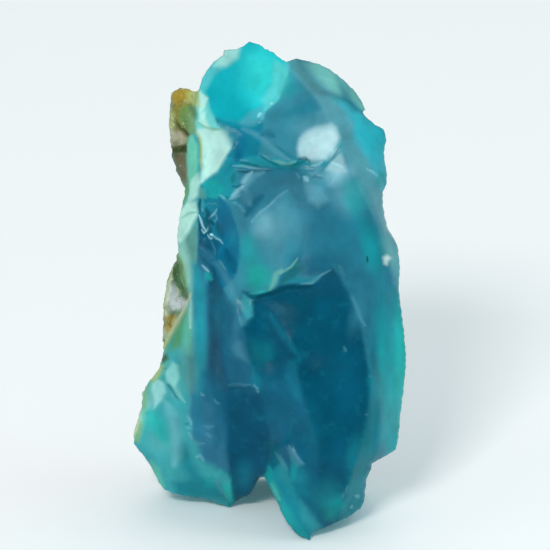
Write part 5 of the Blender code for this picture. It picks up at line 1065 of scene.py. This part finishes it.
    ("lime", 0.8, 0.3, 0.05, [(-15.8, 82.0), (-15.0, 80.6), (-14.8, 78.6), (-14.8, 76.2),
        (-14.6, 74.2)]),
    ("fern", 0.5, 0.25, -0.05, [(-15.4, 80.8), (-15.0, 79.0), (-15.0, 76.6)]),
    ("pale mint", 0.5, 0.3, 0.05, [(-16.8, 48.2), (-17.0, 45.2), (-17.0, 42.2)]),
    ("sage teal", 0.6, 0.25, -0.05, [(-18.6, 64.6), (-17.0, 65.6), (-15.6, 65.8)]),
    ("mint", 0.7, 0.3, 0.1, [(-16.2, 65.0), (-17.4, 62.2), (-18.6, 60.0)]),
    # painted glints on two small chips at the edge of the tip scar
    ("glint", 0.5, 0.3, 0.1, [(-3.4, 84.8), (-2.8, 85.6)]),
    ("mint", 0.5, 0.2, 0.05, [(-1.0, 87.4), (-0.4, 87.6)]),
    # specks and fibres on the right
    ("black", 1, 0.14, 0, [(18.4, 57.0), (18.5, 55.7)]),
    ("haze", 0.5, 0.2, 0, [(17.6, 44.0), (18.0, 43.0)]),
    ("haze", 0.4, 0.25, 0, [(13.8, 38.8), (14.2, 37.8)]),
    ("haze", 0.4, 0.3, 0, [(18.2, 25.6), (18.4, 25.2)]),
    ("pale haze", 0.6, 0.2, 0.05, [(18.4, 74.4), (19.6, 73.8), (20.6, 73.0)]),
    ("pale haze", 0.5, 0.3, 0.05, [(16.0, 9.0), (17.0, 8.8)]),
    ("pale haze", 0.5, 0.25, 0.05, [(15.2, 6.6), (15.6, 7.0)]),
    ("haze", 0.5, 0.2, 0, [(13.2, 8.4), (14.0, 9.8), (14.8, 11.2)]),
]

# Colour that follows a ridge: name, colour, half width in mm, strength.
RIDGE_TINTS = [
    ("tip scar, right", "pale aqua", 0.3, 0.4), ("left edge, lower", "moss", 0.4, 0.6),
    ("left arris", "haze", 0.25, 0.2),
    # the dusk line along the shoulder line is a painted shadow band below the shoulder
    ("long ridge", "haze", 0.4, 0.3), ("shoulder line", "dusk", 0.4, 0.6),
    ("right ridge", "grey teal", 0.4, 0.4), ("lobe dark line", "green teal", 0.3, 0.5),
]

BACK_TINTS = {
    "top right": "lobe teal", "right flank": "edge teal", "upper right": "teal",
    "lower right": "dusk", "top left": "deep turquoise", "upper left": "lobe teal",
    "middle left": "dome blue", "rind, upper": "olive", "rind, middle": "clay",
    "rind, lower": "sage", "left lobe": "lobe aqua", "left lobe, inner": "lobe teal",
    "heel, left": "dome blue", "heel, right": "green teal",
}
BACK_GLOWS = [           # the same as GLOWS, for the side that is turned away
    (22.4, 36.0, 4.0, 20.0, 0, "edge teal", 0.9),
    (2.0, 58.0, 5.0, 11.0, 15, "haze", 0.45),
    (10.0, 74.0, 6.0, 4.0, -20, "slate", 0.6),
    (12.0, 38.0, 6.0, 9.0, 20, "dusk", 0.8),
    (-6.0, 34.0, 5.0, 10.0, -10, "dusk", 0.7),
    (-3.0, 45.0, 2.4, 8.0, 10, "sea", 0.5),
    (-8.0, 68.0, 3.0, 9.0, 5, "sea green", 0.5),
    (-10.6, 52.0, 1.8, 9.0, 0, "moss", 0.6),
    (-11.0, 76.0, 1.6, 8.0, 0, "moss", 0.5),
    (-4.0, 94.0, 5.0, 4.0, 0, "bright turquoise", 0.5),
    (8.0, 12.0, 5.0, 4.0, 0, "sea", 0.5),
    (-20.0, 14.0, 4.0, 4.0, 0, "sea green", 0.5),
]
RIND = ("upper rind", "rind hollow", "lower rind", "rind rib", "rind crevice", "rind wall",
        "rind, upper", "rind, middle", "rind, lower")
MATT = {                 # roughness of the facets that are duller than the rest
    "tip scar": 0.62, "upper window": 0.6, "lower window": 0.6, "dome": 0.42,
    "left side": 0.45, "lobe leaf": 0.5, "lobe margin": 0.5, "edge wall": 0.6,
    "right dome": 0.34, "shoulder": 0.6, "right bump": 0.5, "foot edge": 0.6, "right foot": 0.4,
}
GLASSY = 0.2             # roughness of the other facets
DENSE = [                # where the front is meshed finer: u, v, half width, half height
    (-12.0, 61.0, 5.5, 10.0), (2.0, 74.0, 14.0, 8.0), (0.0, 52.0, 13.0, 5.0),
    (1.6, 16.0, 4.4, 5.0), (-14.6, 80.0, 3.4, 11.0), (-1.0, 90.0, 4.4, 8.0),
    (-9.0, 11.0, 4.0, 5.0), (20.6, 56.0, 3.0, 3.0),
]
WORN_RIDGES = ["dome ridge", "left arris", "rough line"]
DULL_SPOTS = [           # dull places: u, v and reach
    (-1.3, 34.6, 3.2), (7.3, 36.3, 3.2), (1.4, 45.2, 4.4), (2.8, 41.8, 2.4),
    (-14.6, 59.4, 1.8),
]
DULL = 0.45              # roughness at those
FRONT_OVER = -9.5        # what is less deep than this belongs to the front there

# How far things spread over the surface, in mesh points.
FACET_BLEED = 5          # the colours of facets into each other
BACK_BLEED = 36          # all colours, on the back
CRUST_BLEED = 2          # the rind's border on the front
RAGGED_BLEED = 14        # the rind's border on the back, before it is made ragged
MATT_BLEED = 4           # roughness
CREST_REACH = 6          # the painted highlight along a ridge of the back, and the painted shade in a hollow
WORN_BLEED = 16          # the rounding of a worn ridge
ROUNDING = 2             # the rounding of every ridge
ROUNDING_PULL = 0.4      # how strong that is in each round

LINE_STEP = 1.0          # distance between the points of a coloured ridge, in millimetres
TAPER = 0.1              # where along half a wave a stroke's width starts and, mirrored, ends
TAPER_POWER = 0.7        # how blunt its ends are
WORN_REACH = 2.4         # how far from a worn ridge the surface is rounded, in millimetres
BORDER_CUT = 9           # how sharp the rind's border on the back is
BORDER_RAGS = 4          # how ragged it is
BORDER_SIZE = 3.0        # width of the rags, in millimetres
CREST_LIGHT_AND_SHADE = 4.0         # how strongly ridges of the back are painted paler, as highlights, and hollows darker, as shade, per mm
CREST_LIGHT_AND_SHADE_MOST = 0.6         # the most that they are
STREAK_STRETCH = (1.0, 0.35, 1.0)    # grey streaks of the back, drawn out upwards
STREAK_SIZE = 2.4        # their width, in millimetres
STREAK_CUT = 2.4         # how sharp they are
STREAK_TINT = 0.4        # how strong they are

# Unevenness that noise gives, in millimetres: how high it stands and how wide it is.
RIPPLE_HEIGHT, RIPPLE_SIZE = 0.05, 3.2
LUMP_HEIGHT, LUMP_SIZE = 0.32, 2.6
GRAIN_HEIGHT, GRAIN_SIZE = 0.12, 0.9
NICK_HEIGHT, NICK_SIZE = 0.5, 1.1
WAVE_HEIGHT, WAVE_SIZE = 0.42, 7.0
RIND_DEPTH = 0.1         # how much lower the rind lies
NOISE_FADE = 0.9         # how fast the finer parts of the noise fade
NOISE_RATIO = 2.0        # how much finer each part is than the one before
NOISE_STEPS = (17.3, -9.1, 5.7)      # how far apart in the noise two seeds look


def linear(name):
    """Turn a named display colour into a linear one."""
    parts = np.array(COLOURS[name]) / 255.0
    return np.where(parts <= 0.04045, parts / 12.92, ((parts + 0.055) / 1.055) ** 2.4)


def share_out(triangles, values, count):
    """Average a value per triangle onto the points."""
    values = values.reshape(len(values), -1)
    uses = np.bincount(triangles.ravel(), minlength=count)
    total = np.column_stack([sum(np.bincount(triangles[:, k], col, count) for k in range(3))
                             for col in values.T])
    return total / np.maximum(uses, 1)[:, None]


def soft(distance):
    """Fall smoothly from 1 at 0 to 0 at 1."""
    t = np.clip(1.0 - distance, 0.0, 1.0)
    return t * t * (3 - 2 * t)


def blended(colour, share, name):
    """Return the colours with this share of a named one mixed in at each point."""
    return colour + share[:, None] * (linear(name) - colour)


def distance_to(points, path):
    """Return each point's distance from the path, and how far along it, 0 to 1, that is."""
    path = np.array(path)
    near, along = np.full(len(points), np.inf), np.zeros(len(points))
    for i, (start, end) in enumerate(zip(path[:-1], path[1:])):
        run = end - start
        t = np.clip((points - start) @ run / (run @ run), 0, 1)
        gap = np.linalg.norm(points - start - t[:, None] * run, axis=1)
        closer = gap < near
        near[closer] = gap[closer]
        along[closer] = (i + t[closer]) / (len(path) - 1)
    return near, along


def glow_share(spots, centre_u, centre_v, wide, tall, turn):
    """Return how strongly a soft patch covers each spot, 1 at its middle."""
    c, s = math.cos(math.radians(turn)), math.sin(math.radians(turn))
    right, up = spots[:, 0] - centre_u, spots[:, 1] - centre_v
    return soft(np.hypot((right * c + up * s) / wide, (up * c - right * s) / tall))


def stroke_share(spots, path, width, tapered=True):
    """Return how strongly a narrow mark covers each spot; its ends taper."""
    reach = 2 * width
    low, high = np.min(path, axis=0) - reach, np.max(path, axis=0) + reach
    close = np.flatnonzero(((spots > low) & (spots < high)).all(axis=1))
    share = np.zeros(len(spots))
    if len(close):
        gap, along = distance_to(spots[close], path)
        wave = np.sin(math.pi * (TAPER + (1 - 2 * TAPER) * along)) ** TAPER_POWER
        share[close] = soft(gap / (reach * wave if tapered else reach))
    return share


def plate_share(spots, corners, edge):
    """Return how strongly a patch with an outline covers each spot: 1 inside, 0 outside."""
    low, high = np.min(corners, axis=0) - edge, np.max(corners, axis=0) + edge
    close = np.flatnonzero(((spots > low) & (spots < high)).all(axis=1))
    share = np.zeros(len(spots))
    if len(close):
        gap, _ = distance_to(spots[close], corners + corners[:1])
        outward = np.where(inside(np.array(corners), spots[close]), -gap, gap)
        share[close] = soft((outward / edge + 1) / 2)
    return share


def facet_values(triangles, names, table, rest, count):
    """Spread one number per facet name onto the points."""
    values = np.array([table.get(name, rest) for name in names], dtype=float)
    return share_out(triangles, values, count)[:, 0]


def with_glows(colour, spots, glows, bare):
    """Return the colours with soft patches laid on where the stone is bare."""
    for *place, name, strength in glows:
        colour = blended(colour, strength * glow_share(spots, *place) * bare, name)
    return colour


def with_ridge_tints(colour, spots, front):
    """Return the colours with a line of colour along some ridges of the front."""
    for ridge, name, width, strength in RIDGE_TINTS:
        path = on_plane(curved(FRONT_RIDGES[ridge], LINE_STEP))
        share = stroke_share(spots, path, width, tapered=False) * front
        colour = blended(colour, strength * share, name)
    return colour


def with_marks(colour, spots, front):
    """Return the colours with plates and strokes laid on, and how far those stand out."""
    lift = np.zeros(len(spots))
    for name, strength, edge, height, corners in PLATES:
        share = plate_share(spots, corners, edge) * front
        colour = blended(colour, strength * share, name)
        lift += height * share
    for name, strength, width, height, path in STROKES:
        share = stroke_share(spots, path, width) * front
        colour = blended(colour, strength * share, name)
        lift += height * share
    return colour, lift


def crests(marks, triangles, edges):
    """Return how far each point stands out from its neighbourhood, in millimetres."""
    bend = marks - relaxed(marks, edges, CREST_REACH)
    return (bend * point_normals(marks, triangles)).sum(axis=1)


def with_back_tones_and_shading(colour, marks, triangles, edges, back, bare):
    """Return the colours run together on the back, with ridges painted paler as highlights, hollows
    painted darker as shade, and grey streaks.
    """
    colour = colour + back[:, None] * (relaxed(colour, edges, BACK_BLEED) - colour)
    # ridges painted paler as highlights, hollows painted darker as shade
    bend = CREST_LIGHT_AND_SHADE * crests(marks, triangles, edges) * bare
    colour = blended(colour, np.clip(bend, 0, CREST_LIGHT_AND_SHADE_MOST), "bright sea")
    colour = blended(colour, np.clip(-bend, 0, CREST_LIGHT_AND_SHADE_MOST), "ink")
    cloud = fractal(marks * STREAK_STRETCH, STREAK_SIZE, octaves=4, seed=5)
    streaks = np.clip(STREAK_CUT * cloud, 0, 1)
    return blended(colour, STREAK_TINT * streaks * bare, "slate")


def rind_share(marks, triangles, names, front, edges):
    """Return how much of each point is rind, with a ragged border on the back."""
    crust = facet_values(triangles, names, dict.fromkeys(RIND, 1.0), 0.0, len(marks))
    crust = relaxed(crust, edges, CRUST_BLEED)
    rags = BORDER_RAGS * fractal(marks, BORDER_SIZE, octaves=4, seed=4)
    border = (relaxed(crust, edges, RAGGED_BLEED) - 0.5) * BORDER_CUT + 0.5 + rags
    return np.where(front > 0, crust, np.clip(border, 0, 1))


def stone_coat(marks, triangles, names, side, edges):
    """Return every point's colour, share of rind, roughness and lift by narrow marks."""
    count = len(marks)
    spots = marks[:, :2]
    front = np.clip(2 * share_out(triangles, side, count)[:, 0], 0, 1)   # the outline too
    back = 1 - front
    crust = rind_share(marks, triangles, names, front, edges)
    bare = 1 - crust
    matt = relaxed(facet_values(triangles, names, MATT, GLASSY, count), edges, MATT_BLEED)
    tints = {**FRONT_TINTS, **BACK_TINTS}
    facet = np.array([linear(tints.get(name, "teal")) for name in names])
    colour = relaxed(share_out(triangles, facet, count), edges, FACET_BLEED)
    colour = with_glows(colour, spots, BACK_GLOWS, back * bare)
    colour = with_glows(colour, spots, GLOWS, front * bare)
    colour = with_ridge_tints(colour, spots, front)
    colour, lift = with_marks(colour, spots, front)
    colour = with_back_tones_and_shading(colour, marks, triangles, edges, back, back * bare)
    nicks = relaxed(4 * front * back, edges, 1) * bare      # only where front and back meet
    lift += NICK_HEIGHT * nicks * fractal(marks, NICK_SIZE, octaves=2, seed=6)
    lift += WAVE_HEIGHT * back * fractal(marks, WAVE_SIZE, octaves=3, seed=7)
    return colour, crust, matt, lift


# ---------------------------------------------------------------- relief

def fractal(points, size, octaves, seed):
    """Sum of noise at halving sizes, about -1 to 1, for points in millimetres."""
    offset = Vector([step * seed for step in NOISE_STEPS])
    return np.array([noise.fractal(Vector(p) / size + offset, NOISE_FADE, NOISE_RATIO, octaves)
                     for p in points])


def relief(marks, crust):
    """Return how far each point stands out along its normal, in millimetres."""
    ripples = RIPPLE_HEIGHT * fractal(marks, RIPPLE_SIZE, octaves=3, seed=1)
    lumps = LUMP_HEIGHT * fractal(marks, LUMP_SIZE, octaves=4, seed=2)
    grains = GRAIN_HEIGHT * fractal(marks, GRAIN_SIZE, octaves=2, seed=3)
    return ripples * (1 - crust) + (lumps + grains - RIND_DEPTH) * crust


# ---------------------------------------------------------------- the stone as an object

def in_dense_place(middles):
    """Say which edge middles lie in a place on the front that shows fine marks."""
    chosen = np.zeros(len(middles), dtype=bool)
    for u, v, wide, tall in DENSE:
        chosen |= np.hypot((middles[:, 0] - u) / wide, (middles[:, 1] - v) / tall) < 1
    return chosen & (middles[:, 2] > FRONT_OVER)


def worn_places(marks):
    """Return how much each point of the front is rounded off, and how dull it is."""
    worn, dull = np.zeros(len(marks)), np.zeros(len(marks))
    for name in WORN_RIDGES:
        gap, _ = distance_to(marks[:, :2], on_plane(FRONT_RIDGES[name]))
        worn = np.maximum(worn, soft(gap / WORN_REACH))
    for u, v, reach in DULL_SPOTS:
        dull = np.maximum(dull, soft(np.hypot(marks[:, 0] - u, marks[:, 1] - v) / reach))
    front = marks[:, 2] > FRONT_OVER
    return np.maximum(worn, dull) * front, dull * front


def everywhere(middles):
    """Choose every edge."""
    return np.ones(len(middles), dtype=bool)


def fine_stone():
    """Return the stone meshed finely: points, triangles, facet names, side and edges."""
    marks, triangles, names, side = whole_stone()
    for choose in (everywhere, in_dense_place):
        marks, triangles, parents = split_edges(marks, triangles, choose)
        names, side = names[parents], side[parents]
    edges = np.unique(sides_of(triangles), axis=0)
    return relaxed(marks, edges, ROUNDING, ROUNDING_PULL), triangles, names, side, edges


def stood_up(marks):
    """Lean the stone back into the frame, in metres; return it and how far it was moved back."""
    u, v, w = marks.T
    placed = np.column_stack([u, v * SIN_LEAN - w * COS_LEAN, v * COS_LEAN + w * SIN_LEAN]) * MM
    deep = (placed[:, 1].min() + placed[:, 1].max()) / 2
    placed -= np.array([MIDDLE_U * MM, deep, 0.0])
    return np.clip(placed, np.array(cad_low), np.array(cad_high)), deep


def build_stone():
    """Make the stone; return it and how far its middle lies behind the landmarks' zero."""
    marks, triangles, names, side, edges = fine_stone()
    worn, dull = worn_places(marks)
    marks += worn[:, None] * (relaxed(marks, edges, WORN_BLEED) - marks)
    colour, crust, matt, lift = stone_coat(marks, triangles, names, side, edges)
    matt += dull * (DULL - matt)
    marks += point_normals(marks, triangles) * (relief(marks, crust) + lift)[:, None]
    placed, deep = stood_up(marks)
    mesh = bpy.data.meshes.new("chrysocolla")
    mesh.from_pydata(placed.tolist(), [], triangles.tolist())
    mesh.shade_smooth()
    tint = mesh.attributes.new("tint", "FLOAT_COLOR", "POINT")
    tint.data.foreach_set("color", np.column_stack([colour, np.ones(len(colour))]).ravel())
    mesh.attributes.new("crust", "FLOAT", "POINT").data.foreach_set("value", crust)
    mesh.attributes.new("matt", "FLOAT", "POINT").data.foreach_set("value", matt)
    stone = bpy.data.objects.new("chrysocolla", mesh)
    bpy.context.scene.collection.objects.link(stone)
    return stone, deep


# Clouding and grain of the material.  Noise: its scale, detail and roughness.  What is made of
# it: the stretch of noise from low to high gives values from start to end.
CLOUDS = dict(scale=140, detail=4, roughness=0.55, low=0.3, high=0.7, start=0.78, end=1.18)
WISPS = dict(scale=420, detail=5, roughness=0.65, low=0.54, high=0.75, start=0, end=0.22)
DARK_RIND = dict(scale=330, detail=4, roughness=0.7, low=0.5, high=0.64, start=0, end=0.55)
PALE_RIND = dict(scale=610, detail=3, roughness=0.6, low=0.56, high=0.68, start=0, end=0.5)
GLOSS = dict(scale=900, detail=3, roughness=0.55, low=0.3, high=0.7, start=0.85, end=1.15)
PORES = dict(scale=2200, detail=3, roughness=0.55)
PORE_STRENGTH = 0.25
PORE_DEPTH = 0.08 * MM
RIND_ROUGHNESS = 0.85
STONE_CONSTANTS = {
    "IOR": 1.5, "Specular IOR Level": 0.06, "Subsurface Weight": 0.3,
    "Subsurface Radius": (0.9, 1.0, 1.0), "Subsurface Scale": 1.5 * MM,
}


class Graph:
    """Adds nodes to a material and joins them up; what its methods return are sockets.

    A Mix node keeps its sockets for numbers at 2 and 3, and those for colours at 6 and 7.
    """

    def __init__(self, name):
        self.material = bpy.data.materials.new(name)
        self.material.use_nodes = True
        self.nodes = self.material.node_tree.nodes
        self.shader = self.nodes["Principled BSDF"]

    def feed(self, socket, value):
        """Join the socket to another, or set it."""
        if isinstance(value, bpy.types.NodeSocket):
            self.material.node_tree.links.new(value, socket)
        else:
            socket.default_value = value

    def attribute(self, name, output="Fac"):
        """A value or colour that the mesh holds at its points."""
        node = self.nodes.new("ShaderNodeAttribute")
        node.attribute_name = name
        return node.outputs[output]

    def noise(self, scale, detail, roughness):
        """Noise that is fixed to the stone."""
        place = self.nodes.new("ShaderNodeTexCoord")
        node = self.nodes.new("ShaderNodeTexNoise")
        self.feed(node.inputs["Vector"], place.outputs["Object"])
        self.feed(node.inputs["Scale"], scale)
        self.feed(node.inputs["Detail"], detail)
        self.feed(node.inputs["Roughness"], roughness)
        return node.outputs["Fac"]

    def pattern(self, scale, detail, roughness, low, high, start, end):
        """Noise from low to high, turned into values from start to end."""
        node = self.nodes.new("ShaderNodeMapRange")
        self.feed(node.inputs["Value"], self.noise(scale, detail, roughness))
        self.feed(node.inputs["From Min"], low)
        self.feed(node.inputs["From Max"], high)
        self.feed(node.inputs["To Min"], start)
        self.feed(node.inputs["To Max"], end)
        return node.outputs["Result"]

    def mixed(self, kind, share, first, second):
        """Two colours mixed: MIX, or MULTIPLY."""
        node = self.nodes.new("ShaderNodeMix")
        node.data_type = "RGBA"
        node.blend_type = kind
        self.feed(node.inputs[0], share)
        self.feed(node.inputs[6], first)
        self.feed(node.inputs[7], second)
        return node.outputs[2]

    def between(self, share, first, second):
        """A number between the first, at share 0, and the second."""
        node = self.nodes.new("ShaderNodeMix")
        self.feed(node.inputs[0], share)
        self.feed(node.inputs[2], first)
        self.feed(node.inputs[3], second)
        return node.outputs[0]

    def times(self, first, second):
        """Two numbers multiplied."""
        node = self.nodes.new("ShaderNodeMath")
        node.operation = "MULTIPLY"
        self.feed(node.inputs[0], first)
        self.feed(node.inputs[1], second)
        return node.outputs[0]

    def bump(self, height, strength, distance):
        """Normals for a fine unevenness."""
        node = self.nodes.new("ShaderNodeBump")
        self.feed(node.inputs["Height"], height)
        self.feed(node.inputs["Strength"], strength)
        self.feed(node.inputs["Distance"], distance)
        return node.outputs["Normal"]


def stone_colour(graph, crust):
    """The tint attribute, clouded, with pale wisps and a speckled rind."""
    colour = graph.mixed("MULTIPLY", 1.0, graph.attribute("tint", "Color"),
                         graph.pattern(**CLOUDS))
    colour = graph.mixed("MIX", graph.pattern(**WISPS), colour, (*linear("bright teal"), 1))
    for pattern, name in ((DARK_RIND, "dark olive"), (PALE_RIND, "chalk")):
        share = graph.times(graph.pattern(**pattern), crust)
        colour = graph.mixed("MIX", share, colour, (*linear(name), 1))
    return colour


def stone_material():
    """Translucent waxy stone with a matt grainy rind."""
    graph = Graph("chrysocolla")
    for name, value in STONE_CONSTANTS.items():
        graph.shader.inputs[name].default_value = value
    crust = graph.attribute("crust")
    gloss = graph.times(graph.pattern(**GLOSS), graph.attribute("matt"))
    pores = graph.bump(graph.noise(**PORES), PORE_STRENGTH, PORE_DEPTH)
    graph.feed(graph.shader.inputs["Base Color"], stone_colour(graph, crust))
    graph.feed(graph.shader.inputs["Roughness"], graph.between(crust, gloss, RIND_ROUGHNESS))
    graph.feed(graph.shader.inputs["Normal"], pores)
    return graph.material


stone, depth_shift = build_stone()
stone.data.materials.append(stone_material())
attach(stone, "root")
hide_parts(NODE)

# ---------------------------------------------------------------- floor, light and camera

FLOOR_HALF = 3.0                     # half the floor's width, in metres
FLOOR_CONSTANTS = {
    "Base Color": (0.98, 0.88, 0.895, 1), "Roughness": 0.9, "Specular IOR Level": 0.0,
    "Emission Color": (0.5, 0.97, 1.0, 1), "Emission Strength": 0.1,
}
AIM_HEIGHT = 0.048                   # height that the lights look at, in metres

# Lights: name, azimuth and elevation in degrees, distance, width and height in metres, power in
# watts, and colour.  Azimuth 0 is the front, and 90 is the right.
LIGHTS = [
    ("key", -16, 34, 2.0, 0.5, 0.36, 21.5, (0.95, 1.0, 0.97)),
    ("front", 10, 62, 2.4, 2.6, 2.0, 4.0, (0.95, 1.0, 1.0)),
    ("top", 155, 60, 2.6, 3.0, 2.4, 27.5, (1.0, 0.92, 0.91)),
    ("left card", -66, 22, 2.0, 1.2, 1.7, 3.0, (0.8, 0.96, 1.0)),
    ("right card", 80, 18, 2.0, 1.2, 1.7, 8.5, (0.45, 1.0, 1.0)),
]
ROOM_COLOUR = (0.7, 0.95, 0.97, 1)
ROOM_STRENGTH = 0.34

SIGHT_DISTANCE = 2.4                 # from the camera to the stone, in metres
PICTURE_SIZE = 0.110                 # width and height that the picture takes in at the stone
PICTURE_MIDDLE = 53.2                # height of the picture's middle along the stone, mm
FILM_WIDTH = 36.0                    # of the camera, mm
SIGHT_END = 20.0                     # how far the camera sees, in metres


def build_floor():
    """Make the plain pale floor."""
    corners = [(-FLOOR_HALF, -FLOOR_HALF, 0), (FLOOR_HALF, -FLOOR_HALF, 0),
               (FLOOR_HALF, FLOOR_HALF, 0), (-FLOOR_HALF, FLOOR_HALF, 0)]
    mesh = bpy.data.meshes.new("floor")
    mesh.from_pydata(corners, [], [(0, 1, 2, 3)])
    ground = bpy.data.objects.new("floor", mesh)
    bpy.context.scene.collection.objects.link(ground)
    paper = Graph("floor paper")
    for name, value in FLOOR_CONSTANTS.items():
        paper.shader.inputs[name].default_value = value
    mesh.materials.append(paper.material)


def softbox(name, azimuth, elevation, distance, width, height, power, colour):
    """A rectangular area light that looks at the stone's middle from the given direction."""
    data = bpy.data.lights.new(name, "AREA")
    data.shape = "RECTANGLE"
    data.size, data.size_y = width, height
    data.energy = power
    data.color = colour
    lamp = bpy.data.objects.new(name, data)
    a, e = math.radians(azimuth), math.radians(elevation)
    out = Vector((math.sin(a) * math.cos(e), -math.cos(a) * math.cos(e), math.sin(e)))
    lamp.location = Vector((0, 0, AIM_HEIGHT)) + out * distance
    lamp.rotation_mode = "QUATERNION"
    lamp.rotation_quaternion = out.to_track_quat("Z", "Y")
    bpy.context.scene.collection.objects.link(lamp)


def build_room():
    """Light the scene faintly from all around."""
    world = bpy.data.worlds.new("room")
    bpy.context.scene.world = world
    world.use_nodes = True
    background = world.node_tree.nodes["Background"]
    background.inputs["Color"].default_value = ROOM_COLOUR
    background.inputs["Strength"].default_value = ROOM_STRENGTH
    bpy.context.scene.view_settings.view_transform = "Standard"


def build_camera(depth_shift):
    """Set the camera square to the stone's own plane."""
    data = bpy.data.cameras.new("camera")
    data.sensor_width = FILM_WIDTH
    data.lens = FILM_WIDTH * SIGHT_DISTANCE / PICTURE_SIZE
    data.clip_end = SIGHT_END
    camera = bpy.data.objects.new("camera", data)
    look_at = Vector((-MIDDLE_U * MM, PICTURE_MIDDLE * SIN_LEAN * MM - depth_shift,
                      PICTURE_MIDDLE * COS_LEAN * MM))
    camera.location = look_at + SIGHT_DISTANCE * Vector((0, -COS_LEAN, SIN_LEAN))
    camera.rotation_euler = (math.pi / 2 - math.radians(LEAN_DEG), 0, 0)
    bpy.context.scene.collection.objects.link(camera)
    bpy.context.scene.camera = camera


build_floor()
for light in LIGHTS:
    softbox(*light)
build_room()
build_camera(depth_shift)
